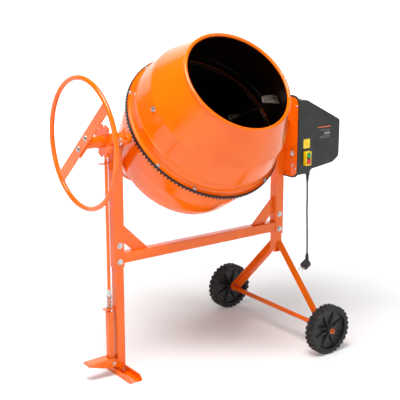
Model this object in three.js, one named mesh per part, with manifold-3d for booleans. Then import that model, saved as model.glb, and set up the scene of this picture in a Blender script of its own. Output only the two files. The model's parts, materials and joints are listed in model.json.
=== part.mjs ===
// Tilting concrete mixer: two-leg stand, drum in a curved yoke, belt drive, handwheel and pedal lock.
// Millimetres, +Z up, the drum mouth faces -Y and the handwheel is on the -X side.
import * as THREE from 'three';
import { mergeVertices } from 'three/addons/utils/BufferGeometryUtils.js';
import Module from 'manifold-3d';

const wasm = await Module();
wasm.setup();

// ---- Driving dimensions ----

// The design origin is the middle of the stand on the floor; the finished part is recentred.
const CENTRE_X = 55;
const CENTRE_Y = -9.7;

const GAP = 0.3;

// Stand
const LEG_X = 385;
const LEG_SIZE = 40;
const LEG_WALL = 2.5;
const INNER_LEG_SIZE = 34;
const UPPER_LEG_BOTTOM = 425;
const UPPER_LEG_TOP = 879;
const INNER_LEG_TOP = 560;
const STUB_BOTTOM = 348;
const BOLT_HEIGHTS = [510, 447];
const BEAM_HEIGHT = 458.5;
const BEAM_SIZE = 39;
const GUSSET_THICKNESS = 5;

// Foot and pedal
const FOOT_WIDTH = 54;
const FOOT_HALF_LENGTH = 117;
const FOOT_HEIGHT = 22;
const FOOT_WALL = 3;
const PEDAL_PIVOT = { x: -380, z: 18 };
const LINK = { x: -422, z: 52 };
const PEDAL_SHEET = 3;
const PEDAL_SIDE_Y = INNER_LEG_SIZE / 2 + 0.6;

// Lock rod
const ROD_X = -424;
const ROD_RADIUS = 6;
const ROD_TOP = 842;
const ROD_BOTTOM = 236;
const LOWER_GUIDE_TOP = 268;
const UPPER_GUIDE_TOP = 825;
const GUIDE_SHEET = 3;
const SPRING_TOP = 316;
const NUT_HEIGHT = 7;

// Wheels
const AXLE_X = 388;
const WHEEL_RADIUS = 100;
const WHEEL_HALF_TRACK = 323;
const WHEEL_WIDTH = 42;
const AXLE_RADIUS = 10;
const AXLE_END = 356;
const WHEEL_SPOKES = 8;
const TREAD_BLOCKS = 18;

// Tilting tube, yoke and handwheel
const AXIS_Z = 906;
const TILT_TUBE_RADIUS = 21;
const TILT_TUBE_END = 325;
const HANDWHEEL_X = -516.7;
const HANDWHEEL_RADIUS = 233.5;
const HANDWHEEL_TUBE = 9;
const SPOKE_WIDTH = 40;
const LOCK_DISC_X = -431;
const LOCK_DISC_RADIUS = 61;
const LOCK_NOTCHES = 8;
const YOKE_RADIUS = 350;
const YOKE_BAR = 10;
const YOKE_WIDTH = 50;

// Drum, measured along its own axis from the tilting axis towards the mouth
const DRUM_X = -0.5;
const DRUM_ELEVATION = 42;
const FLANGE_RADIUS = 315.6;
const GEAR_TEETH = 128;
const PINION_TEETH = 6;
const GEAR_RADIUS = 309.5;
const GEAR_WIDTH = 21;
const PITCH_RADIUS = (GEAR_RADIUS * PINION_TEETH) / GEAR_TEETH;
const TOOTH_HEIGHT = 10;
const TOOTH_TIP = PITCH_RADIUS - 5;
const GEAR_BAND = 5;

// Motor housing
const PLATE_X = 405.4;
const PLATE_THICKNESS = 3;
const HOUSING_HALF_DEPTH = 95;
const HOUSING_MIDDLE_Z = 838;
const HOUSING_HEIGHT = 334;
const COVER_WALL = 3;
const MOTOR_AXIS = { y: -8, z: 780 };
const LARGE_PULLEY_RADIUS = 60;
const SMALL_PULLEY_RADIUS = 20;
const BELT_X = 434;
const BUTTONS = { start: 764, stop: 739 };
const BUTTON_X = 455;
const SWITCH_FACE_Y = -113;

// Power cord: it hangs straight down from the gland to the plug
const GLAND = { x: 476, y: -84, top: 683.7, length: 8 };
const CORD_RADIUS = 3.4;
const CORD_ROUTE = [
  [476, -84, 675.4],
  [476, -84, 655],
  [477.5, -84, 590],
  [478.5, -84.5, 520],
  [481, -85, 450],
  [483.5, -85.5, 385],
  [484.5, -85.5, 338.3],
];
const PLUG = { x: 484.5, y: -85.5, top: 338 };

// ---- Materials ----

function finish(color, roughness, metalness) {
  return new THREE.MeshStandardMaterial({ color, roughness, metalness });
}

const orangePaint = () => finish(0xf0600c, 0.3, 0.1);
const darkCoating = () => finish(0x2a2522, 0.5, 0.4);
const castIron = () => finish(0x1c1d20, 0.55, 0.6);
const zincSteel = () => finish(0xb9bcc0, 0.35, 0.9);
const blackPlastic = () => finish(0x1c1f1d, 0.5, 0);
const blackRubber = () => finish(0x15161a, 0.8, 0);
const yellowPlastic = () => finish(0xf2cf0a, 0.4, 0);
const greenPlastic = () => finish(0x0c9c4e, 0.4, 0);
const redPlastic = () => finish(0xcc1830, 0.4, 0);
const greyPaint = () => finish(0x6f7478, 0.5, 0.3);

// ---- Geometry helpers ----

const radians = THREE.MathUtils.degToRad;

function toManifold(geometry) {
  const bare = geometry.clone();
  bare.deleteAttribute('normal');
  bare.deleteAttribute('uv');
  const merged = mergeVertices(bare.index ? bare.toNonIndexed() : bare, 1e-4);
  return new wasm.Manifold(new wasm.Mesh({
    numProp: 3,
    vertProperties: new Float32Array(merged.attributes.position.array),
    triVerts: new Uint32Array(merged.index.array),
  }));
}

function fromManifold(solid) {
  const data = solid.getMesh();
  const geometry = new THREE.BufferGeometry();
  geometry.setAttribute('position', new THREE.BufferAttribute(data.vertProperties, 3));
  geometry.setIndex(new THREE.BufferAttribute(data.triVerts, 1));
  return geometry;
}

function join(...geometries) {
  return fromManifold(geometries.map(toManifold).reduce((a, b) => a.add(b)));
}

function cut(geometry, ...tools) {
  return fromManifold(tools.map(toManifold).reduce((a, b) => a.subtract(b), toManifold(geometry)));
}

function box(x, y, z) {
  return new THREE.BoxGeometry(x[1] - x[0], y[1] - y[0], z[1] - z[0])
    .translate((x[0] + x[1]) / 2, (y[0] + y[1]) / 2, (z[0] + z[1]) / 2);
}

// A cylinder along x, y or z through a point
function rod(axis, radius, length, centre = [0, 0, 0], sides = 20) {
  const geometry = new THREE.CylinderGeometry(radius, radius, length, sides);
  if (axis === 'x') geometry.rotateZ(-Math.PI / 2);
  if (axis === 'z') geometry.rotateX(Math.PI / 2);
  return geometry.translate(...centre);
}

function pipe(axis, outer, inner, length, centre, sides) {
  return cut(rod(axis, outer, length, centre, sides), rod(axis, inner, length + 2, centre, sides));
}

function squareTube(size, wall, low, high) {
  const half = size / 2;
  const bore = half - wall;
  return cut(
    box([-half, half], [-half, half], [low, high]),
    box([-bore, bore], [-bore, bore], [low - 1, high + 1]),
  );
}

function shapeOf(points) {
  return new THREE.Shape(points.map(([x, y]) => new THREE.Vector2(x, y)));
}

function extrude(shape, depth, curveSegments = 8) {
  return new THREE.ExtrudeGeometry(shape, { depth, bevelEnabled: false, curveSegments })
    .translate(0, 0, -depth / 2);
}

// Turns a plate drawn in x and z into one that stands across y
function standAcrossY(geometry) {
  return geometry.rotateX(Math.PI / 2);
}

// Turns a plate drawn in y and z into one that stands across x
function standAcrossX(geometry) {
  return geometry.rotateX(Math.PI / 2).rotateZ(Math.PI / 2);
}

// A body of revolution about z from points [radius, height] listed round a closed outline
function revolve(points, segments) {
  const outline = points.map(([r, z]) => new THREE.Vector2(r, z));
  if (THREE.ShapeUtils.isClockWise(outline)) outline.reverse();
  return new THREE.LatheGeometry(outline, segments).rotateX(Math.PI / 2);
}

function closedRing(points, segments) {
  return revolve([...points, points[0]], segments);
}

function circlePoints(radius, count, start = 0) {
  return Array.from({ length: count }, (_, i) => {
    const angle = start + (2 * Math.PI * i) / count;
    return [radius * Math.cos(angle), radius * Math.sin(angle)];
  });
}

function part(name, geometry, material) {
  const mesh = new THREE.Mesh(geometry, material);
  mesh.name = name;
  return mesh;
}

// ---- Stand ----

function boltHoles(heights, radius) {
  return heights.map((z) => rod('y', radius, LEG_SIZE + 10, [0, 0, z], 8));
}

function upperLeg(name, side) {
  const tube = squareTube(LEG_SIZE, LEG_WALL, UPPER_LEG_BOTTOM, UPPER_LEG_TOP);
  const mesh = part(name, cut(tube, ...boltHoles(BOLT_HEIGHTS, 4.4)), orangePaint());
  mesh.position.x = side * LEG_X;
  return mesh;
}

function leftLowerLeg() {
  const bottom = FOOT_WALL + GAP;
  const tube = squareTube(INNER_LEG_SIZE, LEG_WALL, bottom, INNER_LEG_TOP);
  const pivotHole = rod('y', 4.4, INNER_LEG_SIZE + 10, [PEDAL_PIVOT.x + LEG_X, 0, PEDAL_PIVOT.z], 12);
  const spareHole = rod('y', 4.4, INNER_LEG_SIZE, [0, -INNER_LEG_SIZE / 2, 79], 12);
  const geometry = cut(tube, ...boltHoles(BOLT_HEIGHTS, 4.4), pivotHole, spareHole);
  const mesh = part('left_lower_leg', geometry, orangePaint());
  mesh.position.x = -LEG_X;
  return mesh;
}

function rightStubLeg() {
  const tube = squareTube(INNER_LEG_SIZE, LEG_WALL, STUB_BOTTOM, INNER_LEG_TOP);
  const mesh = part('right_stub_leg', cut(tube, ...boltHoles(BOLT_HEIGHTS, 4.4)), orangePaint());
  mesh.position.x = LEG_X;
  return mesh;
}

// Hexagon-headed bolt along y with its nut on the far side
function crossBolt(shank, grip, head) {
  const hexagon = (y) => rod('y', head, 5, [0, y, 0], 6);
  return join(
    rod('y', shank, grip + 14, [0, 2, 0], 8),
    hexagon(-grip / 2 - 2.5 - GAP),
    hexagon(grip / 2 + 2.5 + GAP),
  );
}

function legBolt(name, side, height) {
  const mesh = part(name, crossBolt(4, LEG_SIZE, 7.5), zincSteel());
  mesh.position.set(side * LEG_X, 0, height);
  return mesh;
}

function crossBeam() {
  const reach = LEG_X - LEG_SIZE / 2 - GAP;
  const geometry = squareTube(BEAM_SIZE, LEG_WALL, -reach, reach).rotateY(Math.PI / 2);
  const mesh = part('cross_beam', geometry, orangePaint());
  mesh.position.z = BEAM_HEIGHT;
  return mesh;
}

// A slanting strip from the inner face of a leg down to the top of the beam
function gusset(name, side) {
  const legFace = LEG_X - LEG_SIZE / 2 - GAP;
  const beamTop = BEAM_HEIGHT + BEAM_SIZE / 2 + GAP;
  const shape = shapeOf([
    [side * legFace, 588],
    [side * (legFace - 112), beamTop],
    [side * (legFace - 44), beamTop],
    [side * legFace, 522],
  ]);
  return part(name, standAcrossY(extrude(shape, GUSSET_THICKNESS)), orangePaint());
}

function footChannel() {
  const half = FOOT_WIDTH / 2;
  const inner = half - FOOT_WALL;
  const section = extrude(shapeOf([
    [-half, 0], [half, 0], [half, FOOT_HEIGHT], [inner, FOOT_HEIGHT],
    [inner, FOOT_WALL], [-inner, FOOT_WALL], [-inner, FOOT_HEIGHT], [-half, FOOT_HEIGHT],
  ]), 2 * FOOT_HALF_LENGTH).rotateX(Math.PI / 2);
  const chamfer = 15;
  const corner = (end) => standAcrossX(extrude(shapeOf([
    [end * (FOOT_HALF_LENGTH - chamfer), FOOT_HEIGHT + 1],
    [end * (FOOT_HALF_LENGTH + 1), FOOT_HEIGHT + 1],
    [end * (FOOT_HALF_LENGTH + 1), FOOT_HEIGHT - chamfer],
  ]), FOOT_WIDTH + 2));
  const mesh = part('foot_channel', cut(section, corner(-1), corner(1)), orangePaint());
  mesh.position.x = -LEG_X;
  return mesh;
}

// ---- Head bearings ----

const SADDLE = { outer: TILT_TUBE_RADIUS + 4, bore: TILT_TUBE_RADIUS + 0.5, ear: 49, sheet: 4 };

function saddleRing(low, high) {
  const ring = pipe('x', SADDLE.outer, SADDLE.bore, LEG_SIZE, [0, 0, 0], 24);
  const keep = box([-LEG_SIZE, LEG_SIZE], [-SADDLE.ear, SADDLE.ear], [low, high]);
  return fromManifold(toManifold(ring).intersect(toManifold(keep)));
}

function ears(low, high) {
  const bore = rod('x', SADDLE.bore, LEG_SIZE + 2, [0, 0, 0], 24);
  const plate = box([-LEG_SIZE / 2, LEG_SIZE / 2], [-SADDLE.ear, SADDLE.ear], [low, high]);
  const holes = [-1, 1].map((side) => rod('z', 4.5, 20, [0, side * 38, 0], 8));
  return cut(plate, bore, ...holes);
}

function bearingSaddle(name, side) {
  const seatHalf = INNER_LEG_SIZE / 2;
  const low = UPPER_LEG_TOP + GAP - AXIS_Z;
  const seat = cut(
    box([-seatHalf, seatHalf], [-seatHalf, seatHalf], [low, -12]),
    rod('x', SADDLE.bore, LEG_SIZE + 2, [0, 0, 0], 24),
  );
  const geometry = join(saddleRing(-SADDLE.outer, -GAP), ears(-SADDLE.sheet, -GAP), seat);
  const mesh = part(name, geometry, orangePaint());
  mesh.position.set(side * LEG_X, 0, AXIS_Z);
  return mesh;
}

function bearingCap(name, side) {
  const geometry = join(saddleRing(0, SADDLE.outer), ears(0, SADDLE.sheet));
  const mesh = part(name, geometry, orangePaint());
  mesh.position.set(side * LEG_X, 0, AXIS_Z);
  return mesh;
}

// ---- Lock rod and pedal ----

// A plate with a hole for the rod, bent down along the leg
function rodGuide(name, top, legFace) {
  const outer = ROD_X - 25;
  const plate = box([outer, legFace], [-12, 12], [top - GUIDE_SHEET, top]);
  const tongue = box([legFace - GUIDE_SHEET, legFace], [-12, 12], [top - 25, top]);
  const hole = rod('z', ROD_RADIUS + 0.7, 20, [ROD_X, 0, top], 16);
  return part(name, cut(join(plate, tongue), hole), orangePaint());
}

function lockRod() {
  const shaft = rod('z', ROD_RADIUS, ROD_TOP - ROD_BOTTOM, [ROD_X, 0, (ROD_TOP + ROD_BOTTOM) / 2], 16);
  return part('lock_rod', shaft, orangePaint());
}

function rodNut() {
  const middle = SPRING_TOP + GAP + NUT_HEIGHT / 2;
  const nut = rod('z', 11, NUT_HEIGHT, [ROD_X, 0, middle], 6);
  const washer = rod('z', 13, 2, [ROD_X, 0, middle - NUT_HEIGHT / 2 + 1], 16);
  const thread = rod('z', ROD_RADIUS + 0.2, 2 * NUT_HEIGHT, [ROD_X, 0, middle], 16);
  return part('rod_nut', cut(join(nut, washer), thread), zincSteel());
}

class Helix extends THREE.Curve {
  getPoint(t, target = new THREE.Vector3()) {
    const low = LOWER_GUIDE_TOP + 1.8;
    const high = SPRING_TOP - 1.6;
    const turns = 5;
    const angle = 2 * Math.PI * turns * t;
    return target.set(10.5 * Math.cos(angle), 10.5 * Math.sin(angle), low + (high - low) * t);
  }
}

function lockSpring() {
  const section = shapeOf(circlePoints(1.4, 6));
  const geometry = new THREE.ExtrudeGeometry(section, { steps: 40, extrudePath: new Helix() });
  const mesh = part('lock_spring', geometry, zincSteel());
  mesh.position.x = ROD_X;
  return mesh;
}

// Channel-shaped bar between the rod and the pedal, open towards the leg
function pullBar() {
  const half = 11;
  const sheet = 2.5;
  const shape = shapeOf([
    [-half, -half], [half, -half], [half, -half + sheet], [-half + sheet, -half + sheet],
    [-half + sheet, half - sheet], [half, half - sheet], [half, half], [-half, half],
  ]);
  const low = LINK.z - 11;
  const high = LOWER_GUIDE_TOP - 12;
  const channel = extrude(shape, high - low).translate(ROD_X, 0, (low + high) / 2);
  const hole = rod('y', 4.2, 60, [LINK.x, 0, LINK.z], 12);
  return part('pull_bar', cut(channel, hole), orangePaint());
}

function linkBolt() {
  const outside = PEDAL_SIDE_Y + PEDAL_SHEET;
  const mesh = part('link_bolt', crossBolt(4, 2 * outside, 7), zincSteel());
  mesh.position.set(LINK.x, 0, LINK.z);
  return mesh;
}

function pivotBolt() {
  const outside = PEDAL_SIDE_Y + PEDAL_SHEET;
  const mesh = part('pedal_pivot_bolt', crossBolt(4, 2 * outside, 8), zincSteel());
  mesh.position.set(PEDAL_PIVOT.x, 0, PEDAL_PIVOT.z);
  return mesh;
}

// Side view of the pedal from the pivot eye to the toe
function pedalSide() {
  const { x, z } = PEDAL_PIVOT;
  const shape = new THREE.Shape();
  shape.moveTo(x - 4, z - 11.5);
  shape.absarc(x, z, 12, -1.9, 0.9, false);
  shape.lineTo(x - 26, 65);
  shape.lineTo(-430, 73);
  shape.lineTo(-530, 71);
  shape.lineTo(-530, 62);
  shape.lineTo(-466, 42);
  shape.lineTo(-426, 36);
  shape.lineTo(-404, 36);
  shape.closePath();
  return shape;
}

function pedal() {
  const outside = PEDAL_SIDE_Y + PEDAL_SHEET;
  const side = (sign) => standAcrossY(extrude(pedalSide(), PEDAL_SHEET, 6))
    .translate(0, sign * (PEDAL_SIDE_Y + PEDAL_SHEET / 2), 0);
  const tread = standAcrossY(extrude(shapeOf([
    [-438, 72.4], [-438, 69.4], [-530, 68], [-530, 71],
  ]), 2 * outside));
  const toe = box([-530, -527], [-outside, outside], [62, 71]);
  const pivotHole = rod('y', 4.2, 60, [PEDAL_PIVOT.x, 0, PEDAL_PIVOT.z], 12);
  const slot = join(
    rod('y', 5.2, 60, [LINK.x + 8, 0, LINK.z], 12),
    rod('y', 5.2, 60, [LINK.x - 1, 0, LINK.z], 12),
    box([LINK.x - 1, LINK.x + 8], [-30, 30], [LINK.z - 5.2, LINK.z + 5.2]),
  );
  const geometry = cut(join(side(-1), side(1), tread, toe), pivotHole, slot);
  return part('pedal', geometry, orangePaint());
}

// ---- Wheel axle and wheels ----

// An angle section whose outer corner runs from the stub down to the axle on one side
function wheelLeg(name, side) {
  const top = new THREE.Vector3(LEG_X, side * (INNER_LEG_SIZE / 2 + 1.2), 392);
  const foot = new THREE.Vector3(LEG_X, side * 288, 116);
  const [start, end] = side < 0 ? [top, foot] : [foot, top];
  const direction = end.clone().sub(start).normalize();
  const width = 30;
  const sheet = 3;
  const half = width / 2;
  // The flange lies on the outer side of the slope and the web hangs under it at +X
  const shape = shapeOf([[-half, 0], [half, 0], [half, -width], [half - sheet, -width],
    [half - sheet, -sheet], [-half, -sheet]]);
  const geometry = new THREE.ExtrudeGeometry(shape, { depth: start.distanceTo(end), bevelEnabled: false });
  const acrossX = new THREE.Vector3(1, 0, 0);
  const outward = new THREE.Vector3().crossVectors(direction, acrossX);
  geometry.applyMatrix4(new THREE.Matrix4().makeBasis(acrossX, outward, direction).setPosition(start));
  const stubSpace = box(
    [LEG_X - INNER_LEG_SIZE / 2 - GAP, LEG_X + INNER_LEG_SIZE / 2 + GAP],
    [-INNER_LEG_SIZE / 2 - GAP, INNER_LEG_SIZE / 2 + GAP],
    [STUB_BOTTOM - 5, INNER_LEG_TOP],
  );
  const axleSpace = rod('y', AXLE_RADIUS + GAP, 2 * AXLE_END, [AXLE_X, 0, WHEEL_RADIUS], 24);
  return part(name, cut(geometry, stubSpace, axleSpace), orangePaint());
}

function axleTube() {
  const geometry = pipe('y', AXLE_RADIUS, AXLE_RADIUS - 2.5, 2 * AXLE_END, [0, 0, 0], 24);
  const mesh = part('axle_tube', geometry, orangePaint());
  mesh.position.set(AXLE_X, 0, WHEEL_RADIUS);
  return mesh;
}

const RIM = { outer: 84, inner: 79, hub: 20, bore: AXLE_RADIUS + 0.4 };

function wheelDisc(name, side) {
  const half = WHEEL_WIDTH / 2;
  const profile = closedRing([
    [RIM.bore, -half - 4], [RIM.hub, -half - 4], [RIM.hub, -2], [RIM.inner, -2], [RIM.inner, -half + 1],
    [RIM.outer, -half + 1], [RIM.outer, half - 1], [RIM.inner, half - 1], [RIM.inner, 2],
    [RIM.hub, 2], [RIM.hub, half + 10], [RIM.bore, half + 10],
  ], 24);
  const ribs = Array.from({ length: WHEEL_SPOKES }, (_, i) => {
    const wedge = shapeOf([[14, -8], [RIM.inner + 1, -1], [RIM.inner + 1, 1], [14, 8]]);
    const slope = shapeOf([[0, -16], [RIM.inner + 2, -3], [RIM.inner + 2, 3], [0, 16]]);
    const plan = toManifold(extrude(wedge, 40));
    const lift = toManifold(standAcrossY(extrude(slope, 40)));
    return fromManifold(plan.intersect(lift)).rotateZ((2 * Math.PI * (i + 0.5)) / WHEEL_SPOKES);
  });
  const bore = rod('z', RIM.bore, 2 * WHEEL_WIDTH, [0, 0, 0], 24);
  const geometry = cut(join(profile, ...ribs), bore);
  const mesh = part(name, geometry, blackPlastic());
  mesh.rotation.x = -side * (Math.PI / 2);
  mesh.position.set(AXLE_X, side * WHEEL_HALF_TRACK, WHEEL_RADIUS);
  return mesh;
}

// Two rows of tread blocks, half a pitch apart, on a plain ring
function tyre(name, side) {
  const half = WHEEL_WIDTH / 2;
  const ground = WHEEL_RADIUS - 3;
  const band = closedRing([
    [RIM.outer + 0.8, -half], [ground - 3, -half], [ground, -half + 4],
    [ground, half - 4], [ground - 3, half], [RIM.outer + 0.8, half],
  ], 2 * TREAD_BLOCKS);
  const pitch = (2 * Math.PI) / TREAD_BLOCKS;
  const blocks = [-1, 1].flatMap((row) => Array.from({ length: TREAD_BLOCKS }, (_, i) => (
    box([ground - 4, WHEEL_RADIUS - 0.6], [-10, 10], [row > 0 ? 2 : -half + 1, row > 0 ? half - 1 : -2])
      .rotateZ(pitch * (i + (row > 0 ? 0.5 : 0)))
  )));
  const mesh = part(name, join(band, ...blocks), blackRubber());
  mesh.rotation.x = -side * (Math.PI / 2);
  mesh.position.set(AXLE_X, side * WHEEL_HALF_TRACK, WHEEL_RADIUS);
  return mesh;
}

// ---- Tilting yoke (built about the tilting axis) ----

function leftTiltTube() {
  const low = HANDWHEEL_X + 8.2;
  const length = -TILT_TUBE_END - low;
  const middle = low + length / 2;
  return part('left_tilt_tube', pipe('x', TILT_TUBE_RADIUS, 17, length, [middle, 0, 0], 24), orangePaint());
}

function rightTiltTube() {
  const high = PLATE_X - 0.6;
  const length = high - TILT_TUBE_END;
  const middle = high - length / 2;
  return part('right_tilt_tube', pipe('x', TILT_TUBE_RADIUS, 17, length, [middle, 0, 0], 24), orangePaint());
}

// The local frame of the drum: z runs along the drum axis towards the mouth
function yokeArm() {
  const outer = YOKE_RADIUS + YOKE_BAR / 2;
  const inner = YOKE_RADIUS - YOKE_BAR / 2;
  const overrun = radians(5);
  const shape = new THREE.Shape();
  shape.absarc(0, 0, outer, -Math.PI - overrun, overrun, false);
  shape.absarc(0, 0, inner, overrun, -Math.PI - overrun, true);
  shape.closePath();
  const band = standAcrossY(extrude(shape, YOKE_WIDTH, 24));
  const tubeHole = rod('x', TILT_TUBE_RADIUS + 0.4, 900, [0, 0, 0], 24);
  const housingHole = rod('z', 24 + GAP, 60, [DRUM_X, 0, -YOKE_RADIUS], 20);
  return part('yoke_arm', cut(band, tubeHole, housingHole), orangePaint());
}

function spindleHousing() {
  const high = -268;
  const low = -YOKE_RADIUS - 12;
  const geometry = pipe('z', 24, 13.4, high - low, [DRUM_X, 0, (high + low) / 2], 20);
  return part('spindle_housing', geometry, orangePaint());
}

function lockDisc() {
  const plate = rod('x', LOCK_DISC_RADIUS, 6, [LOCK_DISC_X, 0, 0], 40);
  const notches = Array.from({ length: LOCK_NOTCHES }, (_, i) => (
    box([LOCK_DISC_X - 5, LOCK_DISC_X + 5], [-7.5, 7.5], [-LOCK_DISC_RADIUS - 5, -LOCK_DISC_RADIUS + 11])
      .rotateX((2 * Math.PI * i) / LOCK_NOTCHES)
  ));
  const bore = rod('x', TILT_TUBE_RADIUS + 0.4, 20, [LOCK_DISC_X, 0, 0], 24);
  return part('lock_disc', cut(plate, ...notches, bore), orangePaint());
}

function handwheelRim() {
  const section = circlePoints(HANDWHEEL_TUBE, 8, Math.PI / 8);
  const ring = closedRing(section.map(([a, b]) => [HANDWHEEL_RADIUS + a, b]), 44);
  const mesh = part('handwheel_rim', ring.rotateY(Math.PI / 2), orangePaint());
  mesh.position.x = HANDWHEEL_X;
  return mesh;
}

// The spoke lies along the drum axis when seen from the side
function handwheelSpoke() {
  const reach = HANDWHEEL_RADIUS - HANDWHEEL_TUBE - 1.6;
  const bar = box([-3, 3], [-SPOKE_WIDTH / 2, SPOKE_WIDTH / 2], [-reach, reach]);
  const mesh = part('handwheel_spoke', bar, orangePaint());
  mesh.position.x = HANDWHEEL_X;
  return mesh;
}

function handwheelPlate() {
  const plate = box([3 + GAP, 8 - GAP], [-24, 24], [-58, 58]);
  const mesh = part('handwheel_plate', plate, orangePaint());
  mesh.position.x = HANDWHEEL_X;
  return mesh;
}

// ---- Drum (local z along its axis, origin on the tilting axis) ----

const GEAR_TOP = TOOTH_TIP + TOOTH_HEIGHT + GEAR_BAND;
const BOWL_FLANGE = GEAR_TOP + GAP;
const CONE_FLANGE = BOWL_FLANGE + 2 + GAP;
const CONE_FLANGE_TOP = CONE_FLANGE + 2;
const DRUM_SEGMENTS = 44;

function lowerBowl() {
  const outside = [
    [FLANGE_RADIUS - 1, BOWL_FLANGE], [294, BOWL_FLANGE], [289, -90],
    [275, -165], [263, -205], [238, -235], [150, -246], [138, -252],
  ];
  const inside = [
    [136, -249], [149, -243], [236.6, -232.2], [260.4, -203.5], [272.1, -164.3],
    [286, -89.7], [291, BOWL_FLANGE + 2], [FLANGE_RADIUS - 1, BOWL_FLANGE + 2],
  ];
  const outline = [[0, -252], [0, -249], ...inside, ...outside, [0, -252]];
  const bore = rod('z', 13.4, 20, [0, 0, -250], 20);
  return cut(revolve(outline, DRUM_SEGMENTS), bore);
}

function upperCone() {
  const outside = [
    [FLANGE_RADIUS, CONE_FLANGE_TOP], [301, CONE_FLANGE_TOP], [300, 76],
    [284, 163], [280, 174], [214, 301],
  ];
  // The rolled rim is a bead round the end of the sheet
  const rim = circlePoints(7, 6).slice(0, 5).map(([a, b]) => [210 + a, 307 + b]);
  const inside = [
    [209.3, 301], [276.8, 173.2], [280.8, 162], [297, 76], [297, CONE_FLANGE], [FLANGE_RADIUS, CONE_FLANGE],
  ];
  return closedRing([...outside, ...rim, ...inside], DRUM_SEGMENTS);
}

// The gear band has a lip that wraps the edge of both flanges
function ringGear() {
  const root = TOOTH_TIP + TOOTH_HEIGHT;
  const low = GEAR_RADIUS - GEAR_WIDTH / 2;
  const high = GEAR_RADIUS + GEAR_WIDTH / 2;
  const lip = FLANGE_RADIUS + 2 * GAP;
  const band = closedRing([
    [low, root], [high, root], [high, CONE_FLANGE_TOP - 1],
    [lip, CONE_FLANGE_TOP - 1], [lip, GEAR_TOP], [low, GEAR_TOP],
  ], GEAR_TEETH);
  const pitch = (2 * Math.PI) / GEAR_TEETH;
  const tooth = shapeOf([[1.3, TOOTH_TIP], [4.2, root + 0.5], [-4.2, root + 0.5], [-1.3, TOOTH_TIP]]);
  const prism = toManifold(standAcrossX(extrude(tooth, GEAR_WIDTH - 0.6)).translate(GEAR_RADIUS, 0, 0));
  const teeth = Array.from({ length: GEAR_TEETH }, (_, i) => (
    prism.rotate([0, 0, THREE.MathUtils.radToDeg(pitch * (i + 0.5))])
  ));
  return fromManifold(wasm.Manifold.union([toManifold(band), ...teeth]));
}

function drumSpindle() {
  return join(
    rod('z', 12.7, 132, [0, 0, -307], 20),
    rod('z', 38, 5, [0, 0, -254.8], 20),
    rod('z', 20, 8, [0, 0, -244.7], 6),
    rod('z', 20, 8, [0, 0, -366.3], 6),
  );
}

// A flat paddle bridging the shoulder of the cone and the side of the bowl, with a bent lug at each end
function mixingBlade(turn) {
  const top = new THREE.Vector3(263, 0, 136);
  const bottom = new THREE.Vector3(240, 88, -160);
  const along = bottom.clone().sub(top);
  const middle = top.clone().add(bottom).multiplyScalar(0.5);
  const inward = new THREE.Vector3(-middle.x, -middle.y, 0).normalize();
  const normal = new THREE.Vector3().crossVectors(along, inward).normalize();
  const width = new THREE.Vector3().crossVectors(normal, along).normalize();
  const basis = new THREE.Matrix4().makeBasis(width, normal, along.clone().normalize()).setPosition(middle);
  const length = along.length();
  const paddle = shapeOf([
    [-4, -length / 2], [34, -length / 2 + 20], [66, -length / 5], [66, length / 4],
    [30, length / 2 - 14], [-4, length / 2],
  ]);
  const plate = standAcrossY(extrude(paddle, 4));
  const lug = (end) => box([-2, 34], [0, 34], [-2, 2]).translate(0, 0, end * (length / 2 - 8));
  return join(plate, lug(-1), lug(1)).applyMatrix4(basis).rotateZ(turn);
}

// ---- Pinion shaft (local frame on the tilting axis) ----

function pinionShaft() {
  const outer = PITCH_RADIUS + 3.6;
  const root = PITCH_RADIUS - 5.8;
  const shape = new THREE.Shape();
  const pitch = (2 * Math.PI) / PINION_TEETH;
  for (let i = 0; i < PINION_TEETH; i += 1) {
    const middle = Math.PI / 2 + pitch * i;
    const corners = [[root, -0.35], [outer, -0.08], [outer, 0.08], [root, 0.35]];
    corners.forEach(([r, offset], k) => {
      const point = [r * Math.cos(middle + offset), r * Math.sin(middle + offset)];
      if (i === 0 && k === 0) shape.moveTo(...point);
      else shape.lineTo(...point);
    });
  }
  shape.closePath();
  const face = GEAR_RADIUS + DRUM_X;
  const gear = standAcrossX(extrude(shape, GEAR_WIDTH - 3)).translate(face, 0, 0);
  const end = BELT_X + 14;
  const start = face - 9;
  return join(gear, rod('x', 8, end - start, [(end + start) / 2, 0, 0], 20));
}

// A grooved pulley along x
function pulley(radius, bore) {
  const half = 8;
  const ring = closedRing([
    [bore, -half], [radius + 3, -half], [radius + 3, -6.5], [radius - 4, -4.6],
    [radius - 4, 4.6], [radius + 3, 6.5], [radius + 3, half], [bore, half],
  ], 24);
  return ring.rotateY(Math.PI / 2);
}

// ---- Motor housing ----

function roundedPlate(halfWidth, halfHeight, corner) {
  const shape = new THREE.Shape();
  shape.absarc(halfWidth - corner, halfHeight - corner, corner, 0, Math.PI / 2, false);
  shape.absarc(-halfWidth + corner, halfHeight - corner, corner, Math.PI / 2, Math.PI, false);
  shape.absarc(-halfWidth + corner, -halfHeight + corner, corner, Math.PI, 1.5 * Math.PI, false);
  shape.absarc(halfWidth - corner, -halfHeight + corner, corner, -Math.PI / 2, 0, false);
  shape.closePath();
  return shape;
}

function motorBackPlate() {
  const outline = roundedPlate(HOUSING_HALF_DEPTH - 1, HOUSING_HEIGHT / 2 - 5, 36);
  const plate = standAcrossX(extrude(outline, PLATE_THICKNESS, 6))
    .translate(PLATE_X + PLATE_THICKNESS / 2, 0, HOUSING_MIDDLE_Z);
  const shaftHole = rod('x', 14, 20, [PLATE_X, 0, AXIS_Z], 24);
  const slot = box([PLATE_X - 5, PLATE_X + 9], [-71.5, -64.5], [752, 800]);
  return part('motor_back_plate', cut(plate, shaftHole, slot), orangePaint());
}

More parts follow.
